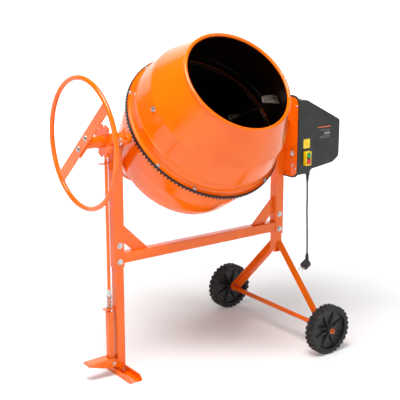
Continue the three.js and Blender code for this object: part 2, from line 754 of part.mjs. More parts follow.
// Side view of the cover in x and z, drawn inset by the given wall
function coverProfile(inset) {
  const start = PLATE_X + PLATE_THICKNESS + GAP;
  return shapeOf([
    [start, 684 + inset], [484, 684 + inset], [492, 699 + inset], [600, 712 + inset],
    [629 - inset, 729 + inset], [640 - inset, 754], [640 - inset, 880], [634 - inset, 900 - inset],
    [461, 986 - inset], [start, 988 - inset],
  ]);
}

function motorCover() {
  const start = PLATE_X + PLATE_THICKNESS + GAP;
  const outer = standAcrossY(extrude(coverProfile(0), 2 * HOUSING_HALF_DEPTH));
  const inner = standAcrossY(extrude(coverProfile(COVER_WALL), 2 * (HOUSING_HALF_DEPTH - COVER_WALL)));
  const cavity = join(inner, box([start - 5, start + 1], [-92, 92], [688, 984]));
  const lipOuter = roundedPlate(HOUSING_HALF_DEPTH + 5, HOUSING_HEIGHT / 2 + 2, 46);
  const lip = standAcrossX(extrude(lipOuter, 8, 8)).translate(start + 4, 0, HOUSING_MIDDLE_Z);
  const glandHole = rod('z', 5, 20, [GLAND.x, GLAND.y, GLAND.top], 16);
  return part('motor_cover', cut(join(outer, lip), cavity, glandHole), blackPlastic());
}

function motorBracket() {
  const x0 = PLATE_X + PLATE_THICKNESS + GAP;
  const face = 452;
  const foot = box([x0, x0 + 3], [-88, -48], [712, 808]);
  const web = box([x0, face], [-88, -84], [712, 808]);
  const front = box([face - 3, face], [-88, 40], [722, 832]);
  const shaftHole = rod('x', 12, 20, [face, MOTOR_AXIS.y, MOTOR_AXIS.z], 20);
  return part('motor_bracket', cut(join(foot, web, front), shaftHole), greyPaint());
}

function motorBody() {
  const face = 452 + GAP;
  const can = closedRing([
    [10, face], [50, face], [52, face + 6], [52, face + 96],
    [44, face + 112], [44, face + 126], [10, face + 126],
  ], 20).rotateY(Math.PI / 2);
  return part('motor_body', can.translate(0, MOTOR_AXIS.y, MOTOR_AXIS.z), greyPaint());
}

function motorPulley() {
  const shaft = rod('x', 7, 150, [BELT_X + 72, 0, 0], 12);
  const wheel = pulley(SMALL_PULLEY_RADIUS, 6.9).translate(BELT_X, 0, 0);
  const mesh = part('motor_pulley', join(shaft, wheel), zincSteel());
  mesh.position.set(0, MOTOR_AXIS.y, MOTOR_AXIS.z);
  return mesh;
}

// Outline round both pulleys at a distance outside their groove floors, in y and z
function beltOutline(offset) {
  const large = { y: 0, z: AXIS_Z, r: LARGE_PULLEY_RADIUS - 4 + offset };
  const small = { ...MOTOR_AXIS, r: SMALL_PULLEY_RADIUS - 4 + offset };
  const heading = Math.atan2(large.z - small.z, large.y - small.y);
  const distance = Math.hypot(large.z - small.z, large.y - small.y);
  const spread = Math.acos((small.r - large.r) / distance);
  const shape = new THREE.Shape();
  shape.absarc(large.y, large.z, large.r, heading - spread, heading + spread, false);
  shape.absarc(small.y, small.z, small.r, heading + spread, heading - spread + 2 * Math.PI, false);
  shape.closePath();
  return shape;
}

function driveBelt() {
  const solid = (offset, depth) => standAcrossX(extrude(beltOutline(offset), depth, 8));
  const geometry = cut(solid(6, 8), solid(0.5, 12)).translate(BELT_X, 0, 0);
  return part('drive_belt', geometry, blackRubber());
}

function switchBox() {
  const front = SWITCH_FACE_Y;
  const back = -HOUSING_HALF_DEPTH - GAP;
  const shell = box([441, 469], [front, back], [722, 780]);
  const pockets = Object.values(BUTTONS).map((z) => (
    box([BUTTON_X - 9, BUTTON_X + 9], [front - 1, front + 10], [z - 10.5, z + 10.5])
  ));
  return part('switch_box', cut(shell, ...pockets), yellowPlastic());
}

function button(name, height, material) {
  const front = SWITCH_FACE_Y;
  const cap = box([BUTTON_X - 8, BUTTON_X + 8], [front - 4, front + 6], [height - 9.5, height + 9.5]);
  return part(name, cap, material);
}

// ---- Cord and plug ----

function cableGland() {
  const body = rod('z', 7, GLAND.length, [GLAND.x, GLAND.y, GLAND.top - GLAND.length / 2], 16);
  const neck = rod('z', 4.6, 12, [GLAND.x, GLAND.y, GLAND.top], 16);
  return part('cable_gland', join(body, neck), blackPlastic());
}

function powerCord() {
  const points = CORD_ROUTE.map((p) => new THREE.Vector3(...p));
  const path = new THREE.CatmullRomCurve3(points, false, 'centripetal');
  const section = shapeOf(circlePoints(CORD_RADIUS, 8));
  const geometry = new THREE.ExtrudeGeometry(section, { steps: 26, extrudePath: path });
  return part('power_cord', geometry, blackRubber());
}

// An angled plug: the cord enters from above and the two pins point down and to the side
function plug() {
  const boot = revolve([[0, -38], [9, -38], [8, -30], [5, 0], [0, 0]], 16);
  const body = revolve([[0, -20], [15, -20], [18.5, -14], [18.5, 10], [12, 16], [0, 16]], 20);
  const pin = (side) => rod('z', 2.4, 24, [0, side * 9.5, -28], 10);
  const head = join(body, pin(-1), pin(1)).rotateY(radians(58)).translate(-4, 0, -46);
  const mesh = part('plug', join(boot, head), blackRubber());
  mesh.position.set(PLUG.x, PLUG.y, PLUG.top);
  return mesh;
}

// ---- Assembly ----

function stand() {
  const legFace = LEG_X + LEG_SIZE / 2 + GAP;
  const lowerFace = LEG_X + INNER_LEG_SIZE / 2 + GAP;
  return [
    upperLeg('left_upper_leg', -1),
    upperLeg('right_upper_leg', 1),
    leftLowerLeg(),
    rightStubLeg(),
    legBolt('left_leg_bolt_high', -1, BOLT_HEIGHTS[0]),
    legBolt('left_leg_bolt_low', -1, BOLT_HEIGHTS[1]),
    legBolt('right_leg_bolt_high', 1, BOLT_HEIGHTS[0]),
    legBolt('right_leg_bolt_low', 1, BOLT_HEIGHTS[1]),
    crossBeam(),
    gusset('left_gusset', -1),
    gusset('right_gusset', 1),
    footChannel(),
    bearingSaddle('left_bearing_saddle', -1),
    bearingCap('left_bearing_cap', -1),
    bearingSaddle('right_bearing_saddle', 1),
    bearingCap('right_bearing_cap', 1),
    rodGuide('upper_rod_guide', UPPER_GUIDE_TOP, -legFace),
    rodGuide('lower_rod_guide', LOWER_GUIDE_TOP, -lowerFace),
    lockSpring(),
    wheelLeg('front_wheel_leg', -1),
    wheelLeg('rear_wheel_leg', 1),
    axleTube(),
  ];
}

function pedalLock() {
  return [lockRod(), rodNut(), pullBar(), linkBolt(), pivotBolt(), pedal()];
}

function wheels() {
  return [
    wheelDisc('front_wheel_disc', -1),
    tyre('front_tyre', -1),
    wheelDisc('rear_wheel_disc', 1),
    tyre('rear_tyre', 1),
  ];
}

function drive() {
  return [
    motorBackPlate(),
    motorCover(),
    motorBracket(),
    motorBody(),
    motorPulley(),
    driveBelt(),
    switchBox(),
    button('start_button', BUTTONS.start, greenPlastic()),
    button('stop_button', BUTTONS.stop, redPlastic()),
    cableGland(),
    powerCord(),
    plug(),
  ];
}

// The tilting group turns about x so that its local z runs along the drum axis
function tiltingGroup() {
  const group = new THREE.Group();
  group.position.z = AXIS_Z;
  group.rotation.x = radians(90 - DRUM_ELEVATION);
  group.add(
    leftTiltTube(),
    rightTiltTube(),
    yokeArm(),
    spindleHousing(),
    lockDisc(),
    handwheelRim(),
    handwheelSpoke(),
    handwheelPlate(),
    part('pinion_shaft', pinionShaft(), zincSteel()),
    part('large_pulley', pulley(LARGE_PULLEY_RADIUS, 8 + GAP).translate(BELT_X, 0, 0), castIron()),
  );
  group.add(drum());
  return group;
}

function drum() {
  const group = new THREE.Group();
  group.position.x = DRUM_X;
  group.add(
    part('lower_bowl', lowerBowl(), orangePaint()),
    part('upper_cone', upperCone(), orangePaint()),
    part('ring_gear', ringGear(), castIron()),
    part('drum_spindle', drumSpindle(), zincSteel()),
    part('mixing_blade_right', mixingBlade(0), darkCoating()),
    part('mixing_blade_left', mixingBlade(Math.PI), darkCoating()),
  );
  return group;
}

function mixer() {
  const machine = new THREE.Group();
  machine.position.set(-CENTRE_X, -CENTRE_Y, 0);
  machine.add(...stand(), ...pedalLock(), ...wheels(), ...drive(), tiltingGroup());
  const root = new THREE.Group();
  root.name = 'concrete_mixer';
  root.add(machine);
  return root;
}

export default mixer();
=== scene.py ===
"""Looks of an electric tilting concrete mixer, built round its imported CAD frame.

Shapes are made in millimetres, in the frame of the stand, of a wheel, of the tilting axis or of the drum.
Their vertices are then put in the row frame, in metres, so every object sits at the origin.
"""

import json
import math
import random

import bmesh
import bpy
from mathutils import Matrix, Vector


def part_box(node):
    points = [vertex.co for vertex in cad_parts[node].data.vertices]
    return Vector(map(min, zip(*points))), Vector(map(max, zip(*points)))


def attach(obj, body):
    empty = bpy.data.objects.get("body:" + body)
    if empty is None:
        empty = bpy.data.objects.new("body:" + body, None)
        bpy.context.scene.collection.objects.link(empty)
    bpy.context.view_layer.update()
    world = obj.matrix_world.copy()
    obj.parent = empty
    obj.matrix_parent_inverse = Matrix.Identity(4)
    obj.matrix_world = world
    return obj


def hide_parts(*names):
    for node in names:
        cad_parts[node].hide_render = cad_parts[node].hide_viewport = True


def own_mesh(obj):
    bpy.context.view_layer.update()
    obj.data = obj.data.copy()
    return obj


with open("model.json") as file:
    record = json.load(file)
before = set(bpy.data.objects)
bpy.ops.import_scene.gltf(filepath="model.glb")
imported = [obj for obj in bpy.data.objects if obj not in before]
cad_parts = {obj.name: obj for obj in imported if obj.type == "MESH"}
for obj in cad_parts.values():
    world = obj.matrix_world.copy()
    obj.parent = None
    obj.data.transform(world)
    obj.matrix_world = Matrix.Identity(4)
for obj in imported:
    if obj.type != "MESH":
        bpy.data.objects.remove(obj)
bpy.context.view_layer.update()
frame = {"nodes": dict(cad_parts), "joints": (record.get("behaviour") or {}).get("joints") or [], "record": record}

# ---- Frames ----

MM = Matrix.Scale(0.001, 4)
JOINTS = {joint["name"]: joint for joint in frame["joints"]}


def middle(node):
    low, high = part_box(node)
    return (low + high) / 2


def size(node):
    """The three sides of a node's box, in millimetres."""
    low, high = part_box(node)
    return (high - low) * 1000


def frame_at(place, turn=None):
    return Matrix.Translation(place) @ (turn or Matrix.Identity(4)) @ MM


HALF_LEG = (middle("left_upper_leg") + middle("right_upper_leg")) / 2
DRUM_AXIS = Vector(JOINTS["drum_spin"]["axis"])
TILTED = Matrix.Rotation(math.atan2(-DRUM_AXIS.y, DRUM_AXIS.z), 4, "X")
TILT_PLACE = Vector((HALF_LEG.x, *JOINTS["drum_tilt"]["pos_m"][1:]))

STAND = frame_at((HALF_LEG.x, HALF_LEG.y, 0))
TILT = frame_at(TILT_PLACE, TILTED)
DRUM = frame_at(JOINTS["drum_spin"]["pos_m"], TILTED)
ALONG_X = Matrix.Rotation(math.pi / 2, 4, "Y")
ALONG_Y = Matrix.Rotation(-math.pi / 2, 4, "X")
FACING_FRONT = Matrix.Rotation(math.pi / 2, 4, "X")
FACING_LEFT = Matrix.Rotation(-math.pi / 2, 4, "Y")


def at(x, y, z):
    return Matrix.Translation((x, y, z))


def turned(degrees, axis="Z"):
    return Matrix.Rotation(math.radians(degrees), 4, axis)


# ---- Camera ----

# Measured in the frame of the stand
CAMERA_PLACE = STAND @ Vector((-2162.1, -3000.3, 1572.9))
CAMERA_TARGET = STAND @ Vector((-5.0, 1.6, 623.8))
LENS = 88.0
SENSOR = 36.0


def camera():
    data = bpy.data.cameras.new("camera")
    data.lens = LENS
    data.sensor_width = SENSOR
    made = bpy.data.objects.new("camera", data)
    made.location = CAMERA_PLACE
    made.rotation_euler = (CAMERA_TARGET - CAMERA_PLACE).to_track_quat("-Z", "Y").to_euler()
    bpy.context.scene.collection.objects.link(made)
    bpy.context.scene.camera = made


camera()

# ---- Shader helpers ----


class Look:
    """A material built round one Principled shader, with its pattern fixed to the object."""

    def __init__(self, name):
        self.material = bpy.data.materials.new(name)
        self.material.use_nodes = True
        self.tree = self.material.node_tree
        self.shader = self.tree.nodes["Principled BSDF"]
        self.place = self.node("ShaderNodeTexCoord").outputs["Object"]

    def node(self, kind, settings=None, **inputs):
        made = self.tree.nodes.new(kind)
        for key, value in (settings or {}).items():
            setattr(made, key, value)
        for key, value in inputs.items():
            self.set(made.inputs[key.replace("_", " ")], value)
        return made

    def set(self, socket, value):
        if isinstance(value, bpy.types.NodeSocket):
            self.tree.links.new(value, socket)
        else:
            socket.default_value = value

    def finish(self, **inputs):
        for key, value in inputs.items():
            self.set(self.shader.inputs[key.replace("_", " ")], value)
        return self.material

    def noise(self, scale, detail=3.0, roughness=0.5, stretch=(1, 1, 1)):
        place = self.node("ShaderNodeMapping", Vector=self.place, Scale=stretch)
        return self.node(
            "ShaderNodeTexNoise",
            Vector=place.outputs["Vector"],
            Scale=scale,
            Detail=detail,
            Roughness=roughness,
        ).outputs["Fac"]

    def spread(self, value, low, high, out_low=0.0, out_high=1.0):
        node = self.node("ShaderNodeMapRange", Value=value)
        for key, number in zip(("From Min", "From Max", "To Min", "To Max"), (low, high, out_low, out_high)):
            node.inputs[key].default_value = number
        return node.outputs["Result"]

    def math(self, operation, a, b=0.0):
        node = self.node("ShaderNodeMath", {"operation": operation})
        self.set(node.inputs[0], a)
        self.set(node.inputs[1], b)
        return node.outputs["Value"]

    def blend(self, share, first, second):
        node = self.node("ShaderNodeMix", {"data_type": "RGBA"})
        self.set(node.inputs["Factor"], share)
        self.set(node.inputs[6], first)
        self.set(node.inputs[7], second)
        return node.outputs[2]

    def bump(self, height, strength, distance, below=None):
        inputs = {"Height": height, "Strength": strength, "Distance": distance}
        if below is not None:
            inputs["Normal"] = below
        return self.node("ShaderNodeBump", **inputs).outputs["Normal"]

    def edges(self, radius):
        """Near 1 along convex and concave edges, 0 on flat areas."""
        bevel = self.node("ShaderNodeBevel", {"samples": 4}, Radius=radius).outputs["Normal"]
        normal = self.node("ShaderNodeNewGeometry").outputs["Normal"]
        dot = self.node("ShaderNodeVectorMath", {"operation": "DOT_PRODUCT"})
        self.set(dot.inputs[0], bevel)
        self.set(dot.inputs[1], normal)
        return self.spread(dot.outputs["Value"], 0.995, 0.75)


def colour(red, green, blue):
    """A colour given as display values from 0 to 255."""
    shares = (red / 255, green / 255, blue / 255)
    linear = [c / 12.92 if c <= 10 / 255 else ((c + 0.055) / 1.055) ** 2.4 for c in shares]
    return (*linear, 1.0)


# ---- Materials ----


def orange_paint():
    look = Look("orange_paint")
    cloud = look.noise(5.0, 2)
    fine = look.noise(90.0, 3)
    body = look.blend(look.spread(cloud, 0.3, 0.7), colour(236, 97, 0), colour(245, 109, 1))
    body = look.blend(look.spread(fine, 0.62, 0.9, 0, 0.25), body, colour(212, 80, 0))
    # Lighter orange in patches along edges: a painted edge highlight.
    patchy_edge_highlight = look.math("MULTIPLY", look.edges(0.0012), look.spread(look.noise(35.0, 4), 0.45, 0.7))
    body = look.blend(look.math("MULTIPLY", patchy_edge_highlight, 0.35), body, colour(255, 150, 70))
    peel = look.bump(look.noise(420.0, 2), 0.10, 0.0006)
    waves = look.bump(look.noise(26.0, 2), 0.10, 0.0016, peel)
    rough = look.spread(look.noise(14.0, 3), 0.3, 0.75, 0.10, 0.20)
    return look.finish(Base_Color=body, Roughness=rough, Normal=waves, IOR=1.5)


def inside_paint():
    look = Look("inside_paint")
    cloud = look.spread(look.noise(9.0, 4), 0.3, 0.75)
    body = look.blend(cloud, colour(20, 9, 6), colour(44, 17, 9))
    # Lighter reddish streaks: a painted glint on the dark inside paint.
    painted_glint_streaks = look.spread(look.noise(30.0, 5, 0.7, (1, 1, 9)), 0.58, 0.8)
    body = look.blend(look.math("MULTIPLY", painted_glint_streaks, 0.35), body, colour(84, 44, 30))
    rough = look.spread(cloud, 0, 1, 0.26, 0.42)
    normal = look.bump(look.noise(300.0, 3), 0.12, 0.0006)
    return look.finish(Base_Color=body, Roughness=rough, Normal=normal, Metallic=0.35)


def zinc_steel():
    look = Look("zinc_steel")
    patches = look.spread(look.noise(160.0, 3), 0.3, 0.7)
    body = look.blend(patches, colour(186, 188, 190), colour(222, 222, 218))
    grime = look.math("MULTIPLY", look.spread(look.noise(45.0, 5), 0.52, 0.8), 0.45)
    body = look.blend(grime, body, colour(120, 112, 100))
    rough = look.spread(patches, 0, 1, 0.20, 0.36)
    normal = look.bump(look.noise(700.0, 2), 0.12, 0.0004)
    return look.finish(Base_Color=body, Roughness=rough, Normal=normal, Metallic=0.9)


def cast_iron():
    look = Look("cast_iron")
    grain = look.noise(520.0, 4, 0.7)
    body = look.blend(look.spread(grain, 0.35, 0.7), colour(20, 21, 23), colour(38, 39, 42))
    # Lighter grey along edges: a painted edge highlight.
    body = look.blend(look.math("MULTIPLY", look.edges(0.0008), 0.5), body, colour(92, 90, 86))
    rough = look.spread(grain, 0.3, 0.7, 0.36, 0.58)
    normal = look.bump(grain, 0.35, 0.0006)
    return look.finish(Base_Color=body, Roughness=rough, Normal=normal, Metallic=0.5)


def blade_coating():
    look = Look("blade_coating")
    patches = look.noise(40.0, 4)
    body = look.blend(look.spread(patches, 0.3, 0.7), colour(16, 13, 12), colour(34, 26, 22))
    # Light grey in patches along edges: a painted edge highlight.
    patchy_edge_highlight = look.math("MULTIPLY", look.edges(0.0016), look.spread(look.noise(70.0, 4), 0.35, 0.6))
    body = look.blend(look.math("MULTIPLY", patchy_edge_highlight, 0.8), body, colour(150, 140, 132))
    rough = look.spread(patches, 0.3, 0.7, 0.22, 0.42)
    normal = look.bump(look.noise(380.0, 3), 0.2, 0.0005)
    return look.finish(Base_Color=body, Roughness=rough, Normal=normal, Metallic=0.5)


def black_plastic():
    look = Look("black_plastic")
    cloud = look.spread(look.noise(6.0, 3), 0.3, 0.7)
    body = look.blend(cloud, colour(22, 25, 24), colour(31, 34, 32))
    scuffs = look.spread(look.noise(60.0, 6, 0.7, (1, 1, 4)), 0.66, 0.9, 0, 0.3)
    body = look.blend(scuffs, body, colour(66, 68, 66))
    # Lighter grey along edges: a painted edge highlight.
    body = look.blend(look.math("MULTIPLY", look.edges(0.0014), 0.35), body, colour(96, 100, 98))
    grain = look.node("ShaderNodeTexVoronoi", Vector=look.place, Scale=900.0).outputs["Distance"]
    normal = look.bump(grain, 0.22, 0.0004)
    rough = look.spread(look.noise(22.0, 3), 0.3, 0.7, 0.42, 0.58)
    return look.finish(Base_Color=body, Roughness=rough, Normal=normal)


def wheel_plastic():
    look = Look("wheel_plastic")
    cloud = look.spread(look.noise(25.0, 3), 0.3, 0.7)
    body = look.blend(cloud, colour(20, 22, 24), colour(30, 32, 34))
    # Lighter grey along edges and rib crests: a painted edge highlight.
    body = look.blend(look.math("MULTIPLY", look.edges(0.0012), 0.5), body, colour(110, 112, 114))
    grain = look.noise(640.0, 3)
    normal = look.bump(grain, 0.15, 0.0004)
    rough = look.spread(grain, 0.3, 0.7, 0.34, 0.50)
    return look.finish(Base_Color=body, Roughness=rough, Normal=normal)


def black_rubber():
    look = Look("black_rubber")
    grain = look.noise(480.0, 4, 0.65)
    body = look.blend(look.spread(grain, 0.3, 0.7), colour(18, 18, 19), colour(32, 31, 31))
    dust = look.math("MULTIPLY", look.spread(look.noise(50.0, 5), 0.5, 0.8), 0.4)
    body = look.blend(dust, body, colour(92, 84, 78))
    # Lighter grey along edges: a painted edge highlight.
    body = look.blend(look.math("MULTIPLY", look.edges(0.0014), 0.4), body, colour(84, 80, 78))
    normal = look.bump(grain, 0.3, 0.0005)
    return look.finish(Base_Color=body, Roughness=look.spread(grain, 0.3, 0.7, 0.55, 0.78), Normal=normal)


def cord_sheath():
    look = Look("cord_sheath")
    grain = look.noise(900.0, 2)
    body = look.blend(look.spread(grain, 0.3, 0.7), colour(30, 31, 33), colour(44, 45, 47))
    return look.finish(Base_Color=body, Roughness=look.spread(grain, 0.3, 0.7, 0.38, 0.55),
                       Normal=look.bump(grain, 0.12, 0.0003))


def moulded(name, dark, light):
    look = Look(name)
    cloud = look.noise(55.0, 3)
    body = look.blend(look.spread(cloud, 0.3, 0.7), dark, light)
    # White along edges: a painted edge highlight.
    body = look.blend(look.math("MULTIPLY", look.edges(0.0008), 0.3), body, (1, 1, 1, 1))
    grain = look.noise(1200.0, 2)
    return look.finish(Base_Color=body, Roughness=look.spread(cloud, 0.3, 0.7, 0.28, 0.42),
                       Normal=look.bump(grain, 0.08, 0.0002))


def worn_steel():
    look = Look("worn_steel")
    patches = look.spread(look.noise(60.0, 5, 0.7), 0.38, 0.62)
    body = look.blend(patches, colour(96, 74, 64), colour(176, 164, 156))
    body = look.blend(look.spread(look.noise(240.0, 4, 0.7), 0.6, 0.75), body, colour(52, 36, 30))
    normal = look.bump(look.noise(420.0, 4), 0.4, 0.0008)
    rough = look.spread(patches, 0, 1, 0.5, 0.32)
    return look.finish(Base_Color=body, Roughness=rough, Normal=normal, Metallic=0.6)


def grey_paint():
    look = Look("grey_paint")
    cloud = look.noise(18.0, 4)
    body = look.blend(look.spread(cloud, 0.3, 0.7), colour(112, 116, 120), colour(132, 136, 140))
    # Lighter grey along edges: a painted edge highlight.
    body = look.blend(look.math("MULTIPLY", look.edges(0.001), 0.4), body, colour(176, 178, 178))
    grain = look.noise(500.0, 3)
    return look.finish(Base_Color=body, Roughness=look.spread(grain, 0.3, 0.7, 0.42, 0.6),
                       Normal=look.bump(grain, 0.2, 0.0004))


LOOKS = {
    "orange_paint": orange_paint(),
    "zinc_steel": zinc_steel(),
    "cast_iron": cast_iron(),
    "blade_coating": blade_coating(),
    "black_plastic": black_plastic(),
    "black_rubber": black_rubber(),
    "cord_sheath": cord_sheath(),
    "yellow_plastic": moulded("yellow_plastic", colour(240, 200, 0), colour(255, 222, 20)),
    "green_plastic": moulded("green_plastic", colour(0, 140, 70), colour(16, 168, 88)),
    "red_plastic": moulded("red_plastic", colour(196, 22, 44), colour(222, 40, 58)),
    "grey_paint": grey_paint(),
}
INSIDE = inside_paint()
WHEEL_PLASTIC = wheel_plastic()
WORN_STEEL = worn_steel()

# ---- Mesh helpers ----


def arc(radius, start, end, steps, centre=(0, 0)):
    """Points on a circle from one angle to another, in degrees."""
    angles = [math.radians(start + (end - start) * k / steps) for k in range(steps + 1)]
    return [(centre[0] + radius * math.cos(a), centre[1] + radius * math.sin(a)) for a in angles]


def circle(radius, count, centre=(0, 0)):
    return arc(radius, 0, 360, count, centre)[:-1]


def rounded(corners, steps=5, closed=True):
    """Corners given as (x, y, radius), each replaced by a smooth bend."""
    points = []
    count = len(corners)
    for k, (x, y, radius) in enumerate(corners):
        ends = not closed and k in (0, count - 1)
        if radius <= 0 or ends:
            points.append((x, y))
            continue
        here = Vector((x, y))
        before = Vector(corners[k - 1][:2]) - here
        after = Vector(corners[(k + 1) % count][:2]) - here
        angle = before.angle(after)
        reach = min(radius / math.tan(angle / 2), before.length * 0.48, after.length * 0.48)
        first = here + before.normalized() * reach
        last = here + after.normalized() * reach
        for step in range(steps + 1):
            t = step / steps
            point = first * (1 - t) ** 2 + here * 2 * t * (1 - t) + last * t**2
            points.append((point.x, point.y))
    return points


def rounded_box(half_width, half_height, radius, steps=6, centre=(0, 0)):
    x, y = centre
    signs = ((-1, -1), (1, -1), (1, 1), (-1, 1))
    return rounded([(x + a * half_width, y + b * half_height, radius) for a, b in signs], steps)


def offset_line(line, distance):
    """An open line moved sideways, to the left of its direction."""
    moved = []
    for k, (x, y) in enumerate(line):
        before = Vector(line[max(k - 1, 0)])
        after = Vector(line[min(k + 1, len(line) - 1)])
        along = (after - before).normalized()
        moved.append((x - along.y * distance, y + along.x * distance))
    return moved


def revolve(bm, outline, matrix, segments=96, second=()):
    """A body of revolution about local z. Faces of the outline edges in second get the second material."""
    rings = []
    for k in range(segments):
        angle = 2 * math.pi * k / segments
        turn = (math.cos(angle), math.sin(angle))
        rings.append([bm.verts.new(matrix @ Vector((r * turn[0], r * turn[1], z))) for r, z in outline])
    count = len(outline)
    for k, ring in enumerate(rings):
        following = rings[(k + 1) % segments]
        for i in range(count):
            j = (i + 1) % count
            if outline[i][0] == 0 and outline[j][0] == 0:
                continue
            face = bm.faces.new((ring[i], ring[j], following[j], following[i]))
            face.material_index = 1 if i in second else 0


def prism(bm, outline, low, high, matrix):
    """A flat outline given thickness along local z."""
    floor = [bm.verts.new(matrix @ Vector((x, y, low))) for x, y in outline]
    roof = [bm.verts.new(matrix @ Vector((x, y, high))) for x, y in outline]
    bm.faces.new(floor[::-1])
    bm.faces.new(roof)
    for k in range(len(outline)):
        j = (k + 1) % len(outline)
        bm.faces.new((floor[k], floor[j], roof[j], roof[k]))


def loft(bm, loops, matrix, caps=True):
    """Skin through closed loops of equally many 3-D points."""
    rings = [[bm.verts.new(matrix @ Vector(point)) for point in loop] for loop in loops]
    count = len(rings[0])
    for ring, following in zip(rings, rings[1:]):
        for k in range(count):
            j = (k + 1) % count
            bm.faces.new((ring[k], ring[j], following[j], following[k]))
    if caps:
        bm.faces.new(rings[0][::-1])
        bm.faces.new(rings[-1])
    return rings


def hollow_prism(bm, outer, inner, low, high, matrix):
    """A tube of any section: outer and inner outlines have equally many points."""
    rings = [
        [bm.verts.new(matrix @ Vector((x, y, z))) for x, y in line]
        for line, z in ((outer, low), (outer, high), (inner, high), (inner, low))
    ]
    count = len(outer)
    for k in range(4):
        ring, following = rings[k], rings[(k + 1) % 4]
        for i in range(count):
            j = (i + 1) % count
            bm.faces.new((ring[i], ring[j], following[j], following[i]))


def box(bm, x, y, z, matrix):
    corners = [(x[0], y[0]), (x[1], y[0]), (x[1], y[1]), (x[0], y[1])]
    prism(bm, corners, z[0], z[1], matrix)


def hexagon(across, turn=0.0):
    corner = across / 2 / math.cos(math.radians(30))
    angles = [math.radians(60 * k + turn) for k in range(6)]
    return [(corner * math.cos(a), corner * math.sin(a)) for a in angles]


def bolt_head(bm, across, height, matrix, washer=1.6, turn=0.0):
    """Hexagon head on a washer. Local z points out of the surface, which is at z 0."""
    if washer:
        flat, crest = across * 0.86, across * 0.9
        revolve(bm, [(0, 0), (flat, 0), (crest, washer * 0.3), (flat, washer), (0, washer)], matrix, 24)
    outer = hexagon(across, turn)
    top = washer + height
    loops = [[(x * s, y * s, z) for x, y in outer] for s, z in
             ((1.0, washer), (1.0, top - height * 0.22), (0.9, top - height * 0.05), (0.78, top))]
    loft(bm, loops, matrix)


def nut_and_end(bm, across, height, shank, matrix, washer=1.6):
    """Nut with the end of its bolt standing out."""
    bolt_head(bm, across, height, matrix, washer)
    top = washer + height
    end = top + 3.2
    outline = [(0, top - 0.5), (shank, top - 0.5), (shank, top + 2.4), (shank * 0.7, end), (0, end)]
    revolve(bm, outline, matrix, 20)


def round_head(bm, radius, height, matrix, sides=24):
    """Domed rivet or screw head."""
    dome = [(radius * math.cos(a), height * math.sin(a)) for a in (math.pi / 2 * k / 6 for k in range(7))]
    revolve(bm, [(0, -0.4), (radius, -0.4), *dome[:-1], (0, height)], matrix, sides)


def weld(bm, path, radius, matrix, seed):
    """A bead of weld with the ripples of its pool."""
    rng = random.Random(seed)
    points = [Vector(p) for p in path]
    length = sum((b - a).length for a, b in zip(points, points[1:]))
    steps = max(6, int(length / (radius * 0.55)))
    loops = []
    side = None
    for k in range(steps + 1):
        share = k / steps * (len(points) - 1)
        i = min(int(share), len(points) - 2)
        point = points[i].lerp(points[i + 1], share - i)
        along = (points[i + 1] - points[i]).normalized()
        side = along.orthogonal() if side is None else side - along * side.dot(along)
        side = side.normalized()
        up = along.cross(side)
        wide = radius * (0.82 + 0.18 * math.sin(k * 2.1) + rng.uniform(-0.05, 0.05))
        if k in (0, steps):
            wide *= 0.45
        loops.append([point + side * a + up * b for a, b in circle(wide, 8)])
    loft(bm, loops, matrix)


class Piece:
    """Collects one piece's mesh and turns it into an object that rides on a body."""

    def __init__(self, name, body, slot, stands_for=(), material=None, second=None, smooth=32.0, bevel=0.0):
        self.name = name
        self.body = body
        self.slot = slot
        self.stands_for = stands_for
        self.material = material or LOOKS[slot]
        self.second = second
        self.smooth = smooth
        self.bevel = bevel
        self.bm = bmesh.new()

    def __enter__(self):
        return self.bm

    def __exit__(self, kind, *_):
        if kind:
            return
        bmesh.ops.remove_doubles(self.bm, verts=self.bm.verts, dist=2e-6)
        bmesh.ops.recalc_face_normals(self.bm, faces=self.bm.faces)
        mesh = bpy.data.meshes.new(self.name)
        self.bm.to_mesh(mesh)
        self.bm.free()
        mesh.materials.append(self.material)
        if self.second:
            mesh.materials.append(self.second)
        mesh.shade_smooth()
        mesh.set_sharp_from_angle(angle=math.radians(self.smooth))
        made = bpy.data.objects.new(self.name, mesh)
        bpy.context.scene.collection.objects.link(made)
        if self.bevel:
            add_bevel(made, self.bevel)
        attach(made, self.body)
        if self.stands_for:
            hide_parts(*self.stands_for)


def add_bevel(made, width_mm, segments=2, angle=40.0):
    bevel = made.modifiers.new("bevel", "BEVEL")
    bevel.width = width_mm / 1000
    bevel.segments = segments
    bevel.limit_method = "ANGLE"
    bevel.angle_limit = math.radians(angle)
    bevel.harden_normals = True


# ---- Drum ----

FLANGE_TOP = 29.1
RIM = {"radius": 210, "height": 307, "bead": 7}
BOWL_LINE = [
    (314.6, 24.8, 0), (294, 24.8, 5), (289, -90, 60), (275, -165, 40), (263, -205, 24), (238, -235, 20),
    (150, -246, 4), (138, -252, 3), (14, -252, 0),
]
CONE_LINE = [
    (315.6, 29.1, 0), (305.5, 29.1, 3), (301, 38, 5), (299.6, 66, 2), (302, 70, 1.5), (302, 76, 1.5),
    (299.2, 79, 2), (282.4, 168, 5), (213.6, 300.5, 0),
]


def lower_bowl():
    outer = rounded(BOWL_LINE, 6, closed=False)
    inner = offset_line(outer, -2.6)
    outline = [*outer, *inner[::-1]]
    inside = range(len(outer), len(outline))
    with Piece("drum_bowl", "drum", "orange_paint", ["lower_bowl"], second=INSIDE) as bm:
        revolve(bm, outline, DRUM, 128, second=inside)


